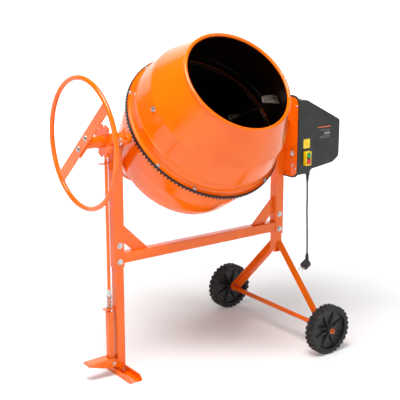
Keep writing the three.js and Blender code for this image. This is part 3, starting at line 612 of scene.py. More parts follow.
def upper_cone():
    outer = rounded(CONE_LINE, 6, closed=False)
    inner = offset_line(outer, 2.0)
    bead = arc(RIM["bead"], -55, 232, 16, (RIM["radius"], RIM["height"]))
    outline = [*outer, *bead, *inner[::-1]]
    inside = range(len(outer) + len(bead) - 3, len(outline) - 1)
    with Piece("drum_cone", "drum", "orange_paint", ["upper_cone"], second=INSIDE) as bm:
        revolve(bm, outline, DRUM, 128, second=inside)


GEAR_TEETH = 128
GEAR = {"inner": 299, "lip": 316.2, "outer": 320, "tip": 9.51, "root": 19.51, "top": 24.5, "lip_top": 28.1}


def ring_gear():
    """A ring with tapered teeth that point away from the mouth and a lip round the flange."""
    pitch = 2 * math.pi / GEAR_TEETH
    steps = [(-0.5, "root"), (-0.28, "root"), (-0.10, "tip"), (0.10, "tip"), (0.28, "root")]
    with Piece("drum_gear", "drum", "cast_iron", ["ring_gear"]) as bm:
        loops = []
        for k in range(GEAR_TEETH):
            for share, level in steps:
                angle = pitch * (k + 0.5 + share)
                c, s = math.cos(angle), math.sin(angle)
                section = [
                    (GEAR["inner"], GEAR[level]), (GEAR["outer"], GEAR[level]),
                    (GEAR["outer"], GEAR["lip_top"]), (GEAR["lip"], GEAR["lip_top"]),
                    (GEAR["lip"], GEAR["top"]), (GEAR["inner"], GEAR["top"]),
                ]
                loops.append([(r * c, r * s, z) for r, z in section])
        loops.append(loops[0])
        loft(bm, loops, DRUM, caps=False)


FLANGE_BOLT_PAIRS = (131.2, 222.3, 313.6, 41.2)
FLANGE_BOLT_RADIUS = 309.8
FLANGE_BOLTS = [pair + side * 14.6 for pair in FLANGE_BOLT_PAIRS for side in (-1, 1)]
SHOULDER_SLOPE = 79.6
# Angle and height of each fastener on the shoulder
BLADE_BOLT = (-3.2, 155)
SHOULDER_RIVET = (157, 98)
SEAM = {"radius": 294, "height": 38, "bead": 1.3}
BRACKET_TAB = [(199, -12, 3), (276, -25, 2), (279, 10, 3), (262, 18, 8), (206, 17, 5)]
BRACKET_FOOT = [(198, 60, 4), (190, 50, 4), (252, 62, 3), (262, 80, 3), (204, 80, 4)]
BRACKET_HOLE = {"x": 219, "y": -1, "radius": 4.5}
BRACKET_TAB_LEVELS = (158, 161)
BRACKET_FOOT_LEVELS = (-61, -58)
FLOOR_RING = [(60, -249.4, 1), (60, -245, 2), (44, -243.5, 2), (44, -249.4, 1)]


def shoulder(angle, height):
    """A place on the tapered shoulder of the cone, with local z along its outward normal."""
    radius = 299.2 - (height - 79) * 15.2 / 84
    return DRUM @ turned(angle) @ at(radius, 0, height) @ turned(SHOULDER_SLOPE, "Y")


def drum_trim():
    with Piece("flange_bolts", "drum", "zinc_steel") as bm:
        for angle in FLANGE_BOLTS:
            place = DRUM @ turned(angle) @ at(FLANGE_BOLT_RADIUS, 0, FLANGE_TOP)
            bolt_head(bm, 9.5, 5, place, 1.2, angle)
    with Piece("blade_bolts", "drum", "zinc_steel") as bm:
        for side in (0, 180):
            bolt_head(bm, 12, 6, shoulder(side + BLADE_BOLT[0], BLADE_BOLT[1]), 1.8)
    with Piece("seam_rivets", "drum", "orange_paint") as bm:
        for side in (0, 180):
            round_head(bm, 4.5, 2.6, shoulder(side + SHOULDER_RIVET[0], SHOULDER_RIVET[1]))
    # Bead along the inside joint, painted orange against the dark inside: a painted highlight along the real seam.
    with Piece("inside_seam_highlight", "drum", "orange_paint") as bm:
        section = [(SEAM["radius"] + a, SEAM["height"] + b) for a, b in circle(SEAM["bead"], 8)]
        revolve(bm, section, DRUM, 128)
    with Piece("blade_brackets", "drum", "blade_coating", material=WORN_STEEL, bevel=0.8) as bm:
        for side in (0, 180):
            place = DRUM @ turned(side)
            tab = rounded(BRACKET_TAB, 4)
            around = [2 * math.pi * k / len(tab) for k in range(len(tab))]
            reach = BRACKET_HOLE["radius"]
            hole = [(BRACKET_HOLE["x"] - reach * math.cos(a), BRACKET_HOLE["y"] - reach * math.sin(a))
                    for a in around]
            hollow_prism(bm, tab, hole, *BRACKET_TAB_LEVELS, place)
            prism(bm, rounded(BRACKET_FOOT, 3), *BRACKET_FOOT_LEVELS, place)
    with Piece("drum_floor_ring", "drum", "blade_coating") as bm:
        revolve(bm, rounded(FLOOR_RING, 3), DRUM, 64)


# ---- Tilting yoke and handwheel ----

HANDWHEEL_X = -516.7
HANDWHEEL_RADIUS = 242.5
HANDWHEEL_TUBE = 9.0
HANDWHEEL_BOLT_REACH = 35
LOCK_DISC_X = -431
TILT_TUBE_BORE = 17
TUBE_WELD_RADIUS = 22.4
YOKE_RADIUS = 350
YOKE_BAR = 10
YOKE_WIDTH = 50
YOKE_OVERRUN = 5


def ring_across_x(x, radius):
    """Points of a full circle round the x axis, its ends meeting."""
    angles = [math.pi / 12 * k for k in range(25)]
    return [(x, radius * math.cos(a), radius * math.sin(a)) for a in angles]


def ring_across_z(z, radius):
    """Points of a full circle round the z axis, its ends meeting."""
    angles = [math.pi / 12 * k for k in range(25)]
    return [(radius * math.cos(a), radius * math.sin(a), z) for a in angles]


def tilt_tubes():
    for name in ("left_tilt_tube", "right_tilt_tube"):
        radius = size(name).z / 2
        half = size(name).x / 2
        place = frame_at(middle(name), ALONG_X)
        corners = ((TILT_TUBE_BORE, -half), (radius, -half), (radius, half), (TILT_TUBE_BORE, half))
        with Piece(name + "_shell", "tilt_yoke", "orange_paint", [name]) as bm:
            revolve(bm, rounded([(r, x, 0.8) for r, x in corners], 3), place, 48)


def handwheel_rim():
    ring = HANDWHEEL_RADIUS - HANDWHEEL_TUBE
    section = [(ring + a, b) for a, b in circle(HANDWHEEL_TUBE, 16)]
    with Piece("handwheel_ring", "tilt_yoke", "orange_paint", ["handwheel_rim"]) as bm:
        revolve(bm, section, TILT @ at(HANDWHEEL_X, 0, 0) @ ALONG_X, 96)


def handwheel_trim():
    with Piece("handwheel_bolts", "tilt_yoke", "zinc_steel") as bm:
        for side in (-HANDWHEEL_BOLT_REACH, HANDWHEEL_BOLT_REACH):
            place = TILT @ at(HANDWHEEL_X - 3, 0, side) @ FACING_LEFT
            bolt_head(bm, 12, 6, place, 1.6)
    with Piece("handwheel_welds", "tilt_yoke", "orange_paint") as bm:
        place = TILT @ at(HANDWHEEL_X, 0, 0)
        for end in (-1, 1):
            for face in (-1, 1):
                line = [(face * 3.4, y, end * 222.6) for y in (-19, 0, 19)]
                weld(bm, line, 2.6, place, 11 + end + 3 * face)
        weld(bm, ring_across_x(8.4, TUBE_WELD_RADIUS), 2.4, place, 17)


def yoke_arm():
    count = 64
    section = rounded_box(YOKE_BAR / 2, YOKE_WIDTH / 2, 1.5, 3)
    loops = []
    for k in range(count + 1):
        angle = math.radians(-180 - YOKE_OVERRUN + (180 + 2 * YOKE_OVERRUN) * k / count)
        c, s = math.cos(angle), math.sin(angle)
        loops.append([((YOKE_RADIUS + a) * c, b, (YOKE_RADIUS + a) * s) for a, b in section])
    with Piece("yoke_band", "tilt_yoke", "orange_paint", ["yoke_arm"]) as bm:
        loft(bm, loops, TILT)
    with Piece("yoke_welds", "tilt_yoke", "orange_paint") as bm:
        for side in (-1, 1):
            for face in (-1, 1):
                x = side * (YOKE_RADIUS + face * (YOKE_BAR / 2 + 0.6))
                weld(bm, ring_across_x(x, TUBE_WELD_RADIUS + 0.2), 2.6, TILT, 23 + side + 2 * face)
        for level in (-(YOKE_RADIUS - YOKE_BAR / 2) + 0.8, -(YOKE_RADIUS + YOKE_BAR / 2) - 0.8):
            weld(bm, ring_across_z(level, 25), 2.8, TILT, 31)


def lock_disc():
    """Weld beads where the notched disc meets the tube, one on each face."""
    place = TILT @ at(LOCK_DISC_X, 0, 0)
    with Piece("lock_disc_welds", "tilt_yoke", "orange_paint") as bm:
        for face in (-3.6, 3.6):
            weld(bm, ring_across_x(face, TUBE_WELD_RADIUS), 2.4, place, 41)


# ---- Stand ----


def square_tube(name, node, body, wall=2.5, radius=3.5):
    low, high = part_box(node)
    half = size(node).x / 2
    place = frame_at((middle(node).x, middle(node).y, low.z))
    outer = rounded_box(half, half, radius, 4)
    inner = rounded_box(half - wall, half - wall, max(radius - wall, 0.8), 4)
    with Piece(name, body, "orange_paint", [node]) as bm:
        hollow_prism(bm, outer, inner, 0, (high.z - low.z) * 1000, place)


def legs():
    square_tube("left_leg_tube", "left_upper_leg", "stand")
    square_tube("right_leg_tube", "right_upper_leg", "stand")
    square_tube("left_leg_foot_tube", "left_lower_leg", "stand", radius=3)
    square_tube("right_stub_tube", "right_stub_leg", "stand", radius=3)
    node = "cross_beam"
    half = size(node).z / 2
    reach = size(node).x / 2
    outer = rounded_box(half, half, 3.5, 4)
    inner = rounded_box(half - 2.5, half - 2.5, 1, 4)
    with Piece("beam_tube", "stand", "orange_paint", [node]) as bm:
        hollow_prism(bm, outer, inner, -reach, reach, frame_at(middle(node), ALONG_X))


LEG_X = 385
AXIS_Z = 906
LEG_BOLT_HEIGHTS = ((510, "high"), (447, "low"))
CLAMP_BOLT_Y = 38
BEAM_WELD_TOP = 478.4
GUSSET_WELD_TOP = 478.6
WHEEL_LEG_WELD_HEIGHT = 386
AXLE_X = 388


def leg_bolts():
    for side, word in ((-1, "left"), (1, "right")):
        for height, level in LEG_BOLT_HEIGHTS:
            node = f"{word}_leg_bolt_{level}"
            with Piece(node + "_set", "stand", "zinc_steel", [node]) as bm:
                bolt_head(bm, 13, 5.4, STAND @ at(side * LEG_X, -20, height) @ FACING_FRONT, 1.8, 12 * side)
                nut_and_end(bm, 13, 6, 4, STAND @ at(side * LEG_X, 20, height) @ ALONG_Y, 1.8)
                revolve(bm, [(0, -20.5), (4, -20.5), (4, 20.5), (0, 20.5)],
                        STAND @ at(side * LEG_X, 0, height) @ ALONG_Y, 20)


def clamps():
    """Bolts and weld beads of the two bearing clamps."""
    for side, word in ((-1, "left"), (1, "right")):
        with Piece(word + "_clamp_bolts", "stand", "zinc_steel") as bm:
            for y in (-CLAMP_BOLT_Y, CLAMP_BOLT_Y):
                bolt_head(bm, 13, 6, STAND @ at(side * LEG_X, y, AXIS_Z + 4), 1.8, 20 * side)
                nut_and_end(bm, 13, 6, 4, STAND @ at(side * LEG_X, y, AXIS_Z - 4) @ turned(180, "X"), 1.8)
        with Piece(word + "_clamp_welds", "stand", "orange_paint") as bm:
            x = side * LEG_X
            for y in (-20.5, 20.5):
                weld(bm, [(x - 17, y, 879.6), (x, y, 879.6), (x + 17, y, 879.6)], 2.4, STAND, 51)


def stand_welds():
    with Piece("beam_welds", "stand", "orange_paint") as bm:
        for side in (-1, 1):
            x = side * (LEG_X - 20.4)
            for y in (-19.6, 19.6):
                weld(bm, [(x, y, 440), (x, y, 458), (x, y, 477)], 2.6, STAND, 61 + side)
            weld(bm, [(x, y, BEAM_WELD_TOP) for y in (-18, 0, 18)], 2.6, STAND, 63 + side)
    with Piece("gusset_welds", "stand", "orange_paint") as bm:
        for side in (-1, 1):
            x = side * (LEG_X - 20.6)
            inner = side * (LEG_X - 65)
            outer = side * (LEG_X - 131)
            for y in (-2.9, 2.9):
                weld(bm, [(x, y, 524), (x, y, 555), (x, y, 586)], 2.2, STAND, 65 + side)
                line = [(x, y, GUSSET_WELD_TOP) for x in (inner, (inner + outer) / 2, outer)]
                weld(bm, line, 2.2, STAND, 67)
    with Piece("foot_welds", "stand", "orange_paint") as bm:
        for y in (-17.6, 17.6):
            weld(bm, [(-LEG_X - 17, y, 3.6), (-LEG_X, y, 3.6), (-LEG_X + 17, y, 3.6)], 2.4, STAND, 71)
    with Piece("guide_welds", "stand", "orange_paint") as bm:
        for z, x in ((824, -405.4), (267, -402.4)):
            weld(bm, [(x - 0.4, y, z + 1.4) for y in (-11, 0, 11)], 2.0, STAND, 73)
    with Piece("wheel_leg_welds", "stand", "orange_paint") as bm:
        for side in (-1, 1):
            line = [(x, side * 18.4, WHEEL_LEG_WELD_HEIGHT) for x in (372, AXLE_X, 402)]
            weld(bm, line, 2.6, STAND, 75)
            ring = [(AXLE_X + 11.4 * math.cos(a), side * 288, 100 + 11.4 * math.sin(a))
                    for a in (math.pi / 9 * k for k in range(19))]
            weld(bm, ring, 2.2, STAND, 77 + side)


# ---- Lock rod and pedal ----

ROD_X = -424

# Levels and sizes of the spring and the nut above it, in millimetres
SPRING_FOOT = 268
SPRING_HEIGHT = 48
COIL_RADIUS = 10.5
ROD_LEVELS = (236, 842)
THREAD_FOOT = 318
THREAD_PITCH = 1.75
THREAD_TURNS = 14
WASHER_FOOT = 316.3
NUT_PROFILE = ((0.9, 2), (1.0, 2.8), (1.0, 6.2), (0.9, 7))


def lock_rod():
    with Piece("lock_rod_bar", "lock_slider", "orange_paint", ["lock_rod"]) as bm:
        low, high = ROD_LEVELS
        line = [(0, low), (5, low), (6, low + 1), (6, high - 2), (4.6, high), (0, high)]
        revolve(bm, line, STAND @ at(ROD_X, 0, 0), 32)
    with Piece("lock_rod_thread", "lock_slider", "zinc_steel") as bm:
        low, pitch = THREAD_FOOT, THREAD_PITCH
        ridges = []
        for k in range(THREAD_TURNS):
            ridges += [(6.15, low + k * pitch), (6.5, low + (k + 0.5) * pitch)]
        line = [(5.8, low), *ridges, (5.8, low + THREAD_TURNS * pitch)]
        revolve(bm, line, STAND @ at(ROD_X, 0, 0), 32)
    with Piece("rod_nut_set", "lock_slider", "zinc_steel", ["rod_nut"]) as bm:
        place = STAND @ at(ROD_X, 0, WASHER_FOOT)
        outer = hexagon(19, 10)
        revolve(bm, [(6.4, 0), (12.6, 0), (13, 0.6), (12.6, 2), (6.4, 2)], place, 32)
        loft(bm, [[(x * s, y * s, z) for x, y in outer] for s, z in NUT_PROFILE], place)


def lock_spring():
    """A coil between the lower guide and the washer. The real spring shortens as the rod is pulled down; this one
    keeps one length.
    """
    turns, steps = 5, 200
    loops = []
    for k in range(steps + 1):
        angle = 2 * math.pi * turns * k / steps
        level = SPRING_FOOT + 1.8 + (SPRING_HEIGHT - 3.4) * k / steps
        outward = Vector((math.cos(angle), math.sin(angle), 0))
        centre = outward * COIL_RADIUS + Vector((0, 0, level))
        loops.append([centre + outward * a + Vector((0, 0, b)) for a, b in circle(1.4, 12)])
    with Piece("coil_spring", "stand", "zinc_steel", ["lock_spring"]) as bm:
        loft(bm, loops, STAND @ at(ROD_X, 0, 0))
    coil = bpy.data.objects["coil_spring"]
    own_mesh(coil)


# ---- Wheels ----

RIBS = 8
RIB_STEPS = ((17, 1.0), (40, 0.72), (62, 0.45), (80, 0.22))
TREAD_BLOCKS = 28
TREAD_LEVELS = {-1: (-19.6, -2.6), 1: (2.6, 19.6)}
TYRE_RADIUS = 95.4
HUB_END = 33
# Profiles as radius, height along the axle and corner radius
DISC_LINE = [
    (10.4, -25, 1), (20, -25, 2), (20, -2, 5), (60, -2, 10),
    (78.6, -2.5, 5), (79, -20, 1.5), (84, -20, 1.5),
    (84, 20, 1.5), (79, 20, 1.5), (78.6, 3, 5), (60, 2, 10),
    (20.5, 2.5, 5), (19.5, 31, 2), (15, 31, 1), (14.4, 29, 0.6), (10.4, 29, 0.6),
]
TYRE_LINE = [
    (84.2, -20.5, 0.5), (88, -21, 1), (93, -21, 2), (TYRE_RADIUS, -17, 3),
    (TYRE_RADIUS, -1.6, 0.5), (TYRE_RADIUS - 1.6, 0, 0.5), (TYRE_RADIUS, 1.6, 0.5),
    (TYRE_RADIUS, 17, 3), (93, 21, 2), (88, 21, 1), (84.2, 20.5, 0.5),
]
TREAD_BLOCK = [
    (TYRE_RADIUS - 5, -7.4), (99.4, -6.8), (99.9, 0), (99.4, 6.8), (TYRE_RADIUS - 5, 7.4),
]
CAP_LINE = [
    (9.6, HUB_END - 6, 0), (9.6, HUB_END - 0.6, 1), (8.6, HUB_END - 0.2, 0.6),
    (6.0, HUB_END - 0.6, 0.6), (6.0, HUB_END - 6, 0),
]
# A black disc sunk in the bore of the axle tube: painted shade standing in for the dark hole.
BORE_SHADE_LINE = [
    (0, HUB_END - 6, 0), (5.6, HUB_END - 6, 0), (5.6, HUB_END - 3, 0.8), (0, HUB_END - 2.4, 0),
]


def wheel_rib(bm, place, half, low, high):
    """A rib that narrows and falls away from the hub to the rim."""
    loops = []
    for radius, share in RIB_STEPS:
        side = half * share
        crest = low + (high - low) * share
        loops.append([(radius, -side, low), (radius, -side * 0.3, crest), (radius, side * 0.3, crest),
                      (radius, side, low)])
    loft(bm, loops, place)


def wheel(word, node_disc, node_tyre, outward):
    place = frame_at(JOINTS[word + "_wheel_spin"]["pos_m"], outward)
    with Piece(word + "_wheel_body", word + "_wheel", "black_plastic", [node_disc], material=WHEEL_PLASTIC,
               bevel=0.6) as bm:
        revolve(bm, rounded(DISC_LINE, 4), place, 96)
        for k in range(RIBS):
            turn = turned(360 * (k + 0.5) / RIBS)
            wheel_rib(bm, place @ turn, 8, 1, 17)
            wheel_rib(bm, place @ turn @ turned(180, "X"), 8, 1, 17)
    with Piece(word + "_tyre_body", word + "_wheel", "black_rubber", [node_tyre], bevel=0.7) as bm:
        revolve(bm, rounded(TYRE_LINE, 3), place, 108)
        for row, levels in TREAD_LEVELS.items():
            shift = 0.5 if row > 0 else 0
            for k in range(TREAD_BLOCKS):
                turn = turned(360 / TREAD_BLOCKS * (k + shift))
                prism(bm, TREAD_BLOCK, *levels, place @ turn)
    with Piece(word + "_axle_cap", "stand", "orange_paint") as bm:
        revolve(bm, rounded(CAP_LINE, 3), place, 40)
    # Black disc in the bore of the tube: painted shade for the dark hole.
    with Piece(word + "_bore_shade_disc", "stand", "black_plastic") as bm:
        revolve(bm, rounded(BORE_SHADE_LINE, 3), place, 32)


def wheels():
    wheel("front", "front_wheel_disc", "front_tyre", FACING_FRONT)
    wheel("rear", "rear_wheel_disc", "rear_tyre", ALONG_Y)


# ---- Motor housing ----

HOUSING_FRONT = -95
HOUSING_ROUNDING = 7
HOUSING_FACE = 408.8
HOUSING_MIDDLE = 838
# Depth and edge of each step of the cover's lip, and its half sides and corner radius
LIP_STEPS = ((0.0, 1.6), (1.6, 0.0), (6.4, 0.0), (8.0, 1.6))
LIP_HALF_SIDES = (99.8, 168.8)
LIP_CORNER = 46
# Place along x of each seam and the levels it runs between
SEAMS = ((424.5, (698, 974)), (634.0, (753, 882)))
LABEL_X = 457
PLATE_X = 550
COVER_LINE = [
    (408.8, 684, 0), (478, 684, 8), (490, 700, 8), (606, 715, 30), (639.6, 738, 22), (639.6, 893, 14),
    (461, 986, 14), (408.8, 988, 0),
]
ACROSS_X = Matrix(((0, 0, 1, 0), (1, 0, 0, 0), (0, 1, 0, 0), (0, 0, 0, 1)))
ACROSS_Y = Matrix(((1, 0, 0, 0), (0, 0, -1, 0), (0, 1, 0, 0), (0, 0, 0, 1)))


def inset(outline, distance):
    """A closed outline moved inwards; it runs anticlockwise."""
    count = len(outline)
    moved = []
    for k, point in enumerate(outline):
        here = Vector(point)
        along = (Vector(outline[(k + 1) % count]) - Vector(outline[k - 1])).normalized()
        moved.append(here + Vector((-along.y, along.x)) * distance)
    return [(p.x, p.y) for p in moved]


def motor_cover():
    """The cover as one closed skin, rounded at its front and back edges, with a lip behind the tray."""
    place = STAND @ ACROSS_Y
    outline = rounded(COVER_LINE, 6)
    with Piece("housing_cover", "stand", "black_plastic", ["motor_cover"], smooth=40) as bm:
        rounding = HOUSING_ROUNDING
        loops = []
        for side, steps in ((1, range(6)), (-1, range(5, -1, -1))):
            for k in steps:
                angle = math.pi / 2 * k / 5
                line = inset(outline, rounding * (1 - math.sin(angle)))
                depth = side * (HOUSING_FRONT + rounding * (1 - math.cos(angle)))
                loops.append([(x, y, depth) for x, y in line])
        loft(bm, loops, place)
        across, up = LIP_HALF_SIDES
        rings = []
        for depth, edge in LIP_STEPS:
            line = rounded_box(across - edge, up - edge, LIP_CORNER, 8, (0, HOUSING_MIDDLE))
            rings.append([(y, z, HOUSING_FACE + depth) for y, z in line])
        loft(bm, rings, STAND @ ACROSS_X)
    with Piece("cover_seam", "stand", "black_plastic") as bm:
        for x, levels in SEAMS:
            box(bm, (x, x + 1.2), (HOUSING_FRONT - 0.6, HOUSING_FRONT + 0.6), levels, STAND)


def labels():
    """Blank stickers on the front of the cover."""
    front = STAND @ at(0, HOUSING_FRONT, 0) @ FACING_FRONT
    with Piece("yellow_label", "stand", "yellow_plastic") as bm:
        prism(bm, rounded_box(17, 19, 2, 4, (LABEL_X, 810)), 0, 0.5, front)
    with Piece("rating_plate", "stand", "black_plastic") as bm:
        prism(bm, rounded_box(37, 27, 2, 4, (PLATE_X, 846)), 0, 0.4, front)
    with Piece("rating_panel", "stand", "grey_paint") as bm:
        prism(bm, rounded_box(15, 5.5, 1, 3, (567, 843)), 0.4, 0.8, front)
        for level in (857, 831, 825):
            prism(bm, rounded_box(26, 0.7, 0.5, 3, (556, level)), 0.4, 0.7, front)
    with Piece("rating_stripe", "stand", "orange_paint") as bm:
        prism(bm, rounded_box(35, 1.6, 0.8, 3, (PLATE_X, 870)), 0.4, 0.8, front)
    with Piece("dark_label", "stand", "black_plastic") as bm:
        prism(bm, rounded_box(39, 35, 2, 4, (552, 781)), 0, 0.4, front)


# Depth along x, distance in from the edge and corner radius of each step of the tray
TRAY_STEPS = (
    (408.3, 0, 36), (406.6, 0, 36), (406.2, 0.6, 35.6), (406.2, 13, 26), (404.9, 17, 23), (404.6, 19, 22),
)


def back_plate():
    """A shallow pressed tray: a raised panel, a sloping border and a slot for the tension bolt."""
    slot = rounded_box(3.2, 24, 3.1, 8, (-68, 777))
    rings = [
        [(y, z, x) for y, z in rounded_box(94 - edge, 162 - edge, corner, 8, (0, 838))]
        for x, edge, corner in TRAY_STEPS
    ]
    rings.append([(y, z, 404.6) for y, z in slot])
    rings.append([(y, z, 408.3) for y, z in slot])
    rings.append(rings[0])
    with Piece("back_tray", "stand", "orange_paint", ["motor_back_plate"]) as bm:
        loft(bm, rings, STAND @ ACROSS_X, caps=False)
    with Piece("tray_screws", "stand", "zinc_steel") as bm:
        for y in (-86, 86):
            for z in (711, 965):
                place = STAND @ at(406.2, y, z) @ FACING_LEFT
                round_head(bm, 4.6, 2.6, place)
    with Piece("tension_bolts", "stand", "zinc_steel") as bm:
        bolt_head(bm, 13, 6, STAND @ at(404.6, -68, 772) @ FACING_LEFT, 1.8)
        bolt_head(bm, 7, 3, STAND @ at(404.6, -72, 723) @ FACING_LEFT, 1.0)


def switch():
    front = STAND @ at(0, -95.3, 0) @ FACING_FRONT
    with Piece("switch_case", "stand", "yellow_plastic", ["switch_box"], bevel=0.8) as bm:
        outer = rounded_box(14, 29, 3, 5, (455, 751))
        hole = rounded_box(9.4, 23, 1.5, 5, (455, 751.5))
        rings = [[(x, y, z) for x, y in line] for line, z in
                 ((outer, 0), (outer, 17.5), (hole, 17.5), (hole, 3.5))]
        loft(bm, rings, front)
    for word, key, height, tint in (("start", "start_key", 764, "green_plastic"),
                                    ("stop", "stop_key", 739.5, "red_plastic")):
        with Piece(word + "_cap", key, tint, [word + "_button"], bevel=0.9) as bm:
            shape = rounded_box(8.2, 9.6, 2, 5, (455, height))
            rings = [[(x, y, z) for x, y in shape] for z in (8, 20.5)]
            dished = rounded_box(5.6, 7, 2, 5, (455, height))
            rings.append([(x, y, 21.2) for x, y in dished])
            loft(bm, rings, front)


# ---- Power cord ----

CORD_ROUTE = [
    (0.4210, -0.0743, 0.6754), (0.4210, -0.0743, 0.6550),
    (0.4225, -0.0743, 0.5900), (0.4235, -0.0748, 0.5200),
    (0.4260, -0.0753, 0.4500), (0.4285, -0.0758, 0.3850), (0.4295, -0.0758, 0.3383),
]
CORD_DIAMETER = 0.0068


def smooth_route(points, count):
    """Catmull-Rom points along a route, evenly spread over its spans."""
    line = [Vector(p) for p in points]
    line = [2 * line[0] - line[1], *line, 2 * line[-1] - line[-2]]
    spans = len(points) - 1
    made = []
    for k in range(count + 1):
        share = k / count * spans
        i = min(int(share), spans - 1)
        t = share - i
        a, b, c, d = line[i:i + 4]
        made.append(((2 * b) + (c - a) * t + (2 * a - 5 * b + 4 * c - d) * t * t
                     + (3 * b - a - 3 * c + d) * t**3) / 2)
    return made


def strain_relief():
    """A collar in the housing and a tapering ribbed sleeve round the cord."""
    place = STAND @ at(476, -84, 0)
    line = [(3.0, 684.5), (9.6, 684.5), (9.6, 679.5), (8.0, 678.5), (7.4, 676)]
    for k in range(6):
        radius = 7.0 - 0.5 * k
        level = 674.5 - 4.6 * k
        neck = radius - 1.1
        line += [(radius, level), (radius - 0.2, level - 2.6), (neck, level - 3.0), (neck, level - 4.2)]
    line += [(4.0, 646), (3.0, 646)]
    with Piece("strain_relief", "stand", "black_plastic", ["cable_gland"]) as bm:
        revolve(bm, line, place, 32)


def plug():
    """An angled rubber plug with a ribbed boot and two round pins."""
    top = STAND @ at(484.5, -85.5, 338)
    head = top @ at(-4, 0, -46) @ turned(58, "Y")
    boot = [(0, 0), (4.4, 0), (5, -1)]
    for k in range(5):
        radius = 5.6 + 0.6 * k
        level = -2.5 - 5.2 * k
        neck = radius - 0.8
        boot += [(radius, level), (radius + 0.3, level - 3), (neck, level - 3.6), (neck, level - 4.8)]
    boot += [(8.4, -32), (9, -38), (0, -38)]
    body = rounded([(0, -20, 0), (15, -20, 2), (18.2, -14, 4), (18.4, -4, 1), (17.4, -2, 1), (17.4, 2, 1),
                    (18.4, 4, 1), (18.2, 10, 5), (12, 16, 5), (0, 16, 0)], 4)
    with Piece("plug_body", "stand", "cord_sheath", ["plug"]) as bm:
        revolve(bm, boot, top, 32)
        revolve(bm, body, head, 48)
    with Piece("plug_pins", "stand", "zinc_steel") as bm:
        for side in (-9.5, 9.5):
            line = [(0, -19), (2.4, -19), (2.4, -38.6), (1.2, -40), (0, -40)]
            revolve(bm, line, head @ at(0, side, 0), 20)
    return [bpy.data.objects["plug_body"], bpy.data.objects["plug_pins"]]


def power_cord(plug_pieces):
    route = smooth_route(CORD_ROUTE, 30)
    data = bpy.data.curves.new("power_lead", "CURVE")
    data.dimensions = "3D"
    data.bevel_depth = CORD_DIAMETER / 2
    data.bevel_resolution = 4
    data.use_fill_caps = True
    spline = data.splines.new("POLY")
    spline.points.add(len(route) - 1)
    for point, place in zip(spline.points, route):
        point.co = (*place, 1.0)
    lead = bpy.data.objects.new("power_lead", data)
    lead.data.materials.append(LOOKS["cord_sheath"])
    bpy.context.scene.collection.objects.link(lead)
    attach(lead, "stand")
    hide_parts("power_cord")


# ---- Carried-over CAD nodes ----


# Edge rounding, in millimetres, of the pieces that keep their CAD mesh
EASED_EDGES = {
    "left_bearing_saddle": 0.8, "left_bearing_cap": 0.8,
    "right_bearing_saddle": 0.8, "right_bearing_cap": 0.8,
    "upper_rod_guide": 0.7, "lower_rod_guide": 0.7,
    "lock_disc": 0.8, "handwheel_spoke": 0.9, "handwheel_plate": 0.7,
    "left_gusset": 0.8, "right_gusset": 0.8, "foot_channel": 0.8, "pedal": 0.7, "pull_bar": 0.6,
    "front_wheel_leg": 0.7, "rear_wheel_leg": 0.7, "mixing_blade_right": 0.8, "mixing_blade_left": 0.8,
    "spindle_housing": 0.8, "motor_bracket": 0.6, "motor_body": 1.2,
    "large_pulley": 0.5, "drum_spindle": 0.6,
    "pedal_pivot_bolt": 0.6, "link_bolt": 0.6,
}


def finish_nodes():
    slots = {part["node"]: part["material_slot"] for part in frame["record"]["subparts"]}
    for name, node in frame["nodes"].items():
        node.data.materials.clear()
        node.data.materials.append(LOOKS[slots[name]])
    for name, width in EASED_EDGES.items():
        add_bevel(frame["nodes"][name], width)


# ---- Stage ----


def area_light(name, place, target, side, watts):
    data = bpy.data.lights.new(name, "AREA")
    data.shape = "RECTANGLE"
    data.size, data.size_y = side
    data.energy = watts
    made = bpy.data.objects.new(name, data)
    made.location = place
    made.rotation_euler = (Vector(target) - Vector(place)).to_track_quat("-Z", "Y").to_euler()
    bpy.context.scene.collection.objects.link(made)


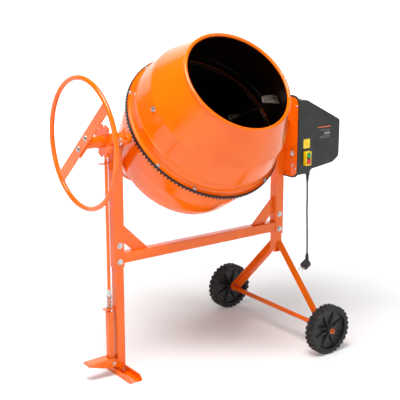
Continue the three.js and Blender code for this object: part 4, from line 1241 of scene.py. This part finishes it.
def backdrop():
    """A pale floor that sweeps up into a wall on the far side of the object."""
    look = Look("studio_paper")
    cloud = look.spread(look.noise(0.6, 2), 0.3, 0.7)
    paper = look.blend(cloud, (0.83, 0.83, 0.83, 1), (0.86, 0.86, 0.86, 1))
    distance = look.node("ShaderNodeVectorMath", {"operation": "LENGTH"}, Vector=look.place)
    glow = look.spread(distance.outputs["Value"], 1.0, 5.0, 0.14, 0.95)
    look.finish(Base_Color=paper, Roughness=0.9, Emission_Color=(1, 1, 1, 1), Emission_Strength=glow)
    look.shader.inputs["Specular IOR Level"].default_value = 0.0
    away = CAMERA_TARGET - CAMERA_PLACE
    heading = math.atan2(away.y, away.x) - math.pi / 2
    place = Matrix.Translation((0, 0, -0.0005)) @ Matrix.Rotation(heading, 4, "Z")
    bend = [(7 + 3 * math.sin(a), 3 - 3 * math.cos(a)) for a in (math.pi / 2 * k / 16 for k in range(17))]
    line = [(-14, 0), (0, 0), *bend, (10, 9)]
    bm = bmesh.new()
    rows = [[bm.verts.new(place @ Vector((x, y, z))) for y, z in line] for x in (-16, 16)]
    for k in range(len(line) - 1):
        bm.faces.new((rows[0][k], rows[1][k], rows[1][k + 1], rows[0][k + 1]))
    mesh = bpy.data.meshes.new("studio_floor")
    bm.to_mesh(mesh)
    bm.free()
    mesh.materials.append(look.material)
    mesh.shade_smooth()
    floor = bpy.data.objects.new("studio_floor", mesh)
    bpy.context.scene.collection.objects.link(floor)


# Name, place, target, sides in metres and watts of each light
LIGHTS = (
    ("top", (-1.1, -0.7, 4.0), (0, 0, 0.6), (2.6, 1.8), 205),
    ("key", (-3.4, -1.6, 1.9), (0, 0, 0.7), (1.2, 1.6), 26),
    ("fill", (2.2, -3.4, 1.4), (0.1, 0, 0.6), (1.4, 1.4), 22),
)
WORLD_COLOUR = (0.10, 0.10, 0.105, 1)


def studio():
    scene = bpy.context.scene
    scene.view_settings.view_transform = "Standard"
    world = bpy.data.worlds.new("studio")
    world.use_nodes = True
    world.node_tree.nodes["Background"].inputs["Color"].default_value = WORLD_COLOUR
    world.node_tree.nodes["Background"].inputs["Strength"].default_value = 1.0
    scene.world = world
    for light in LIGHTS:
        area_light(*light)
    backdrop()


# ---- Assembly ----

finish_nodes()
lower_bowl()
upper_cone()
ring_gear()
drum_trim()
tilt_tubes()
handwheel_rim()
handwheel_trim()
yoke_arm()
lock_disc()
legs()
leg_bolts()
clamps()
stand_welds()
lock_rod()
lock_spring()
wheels()
motor_cover()
labels()
back_plate()
switch()
strain_relief()
power_cord(plug())
studio()
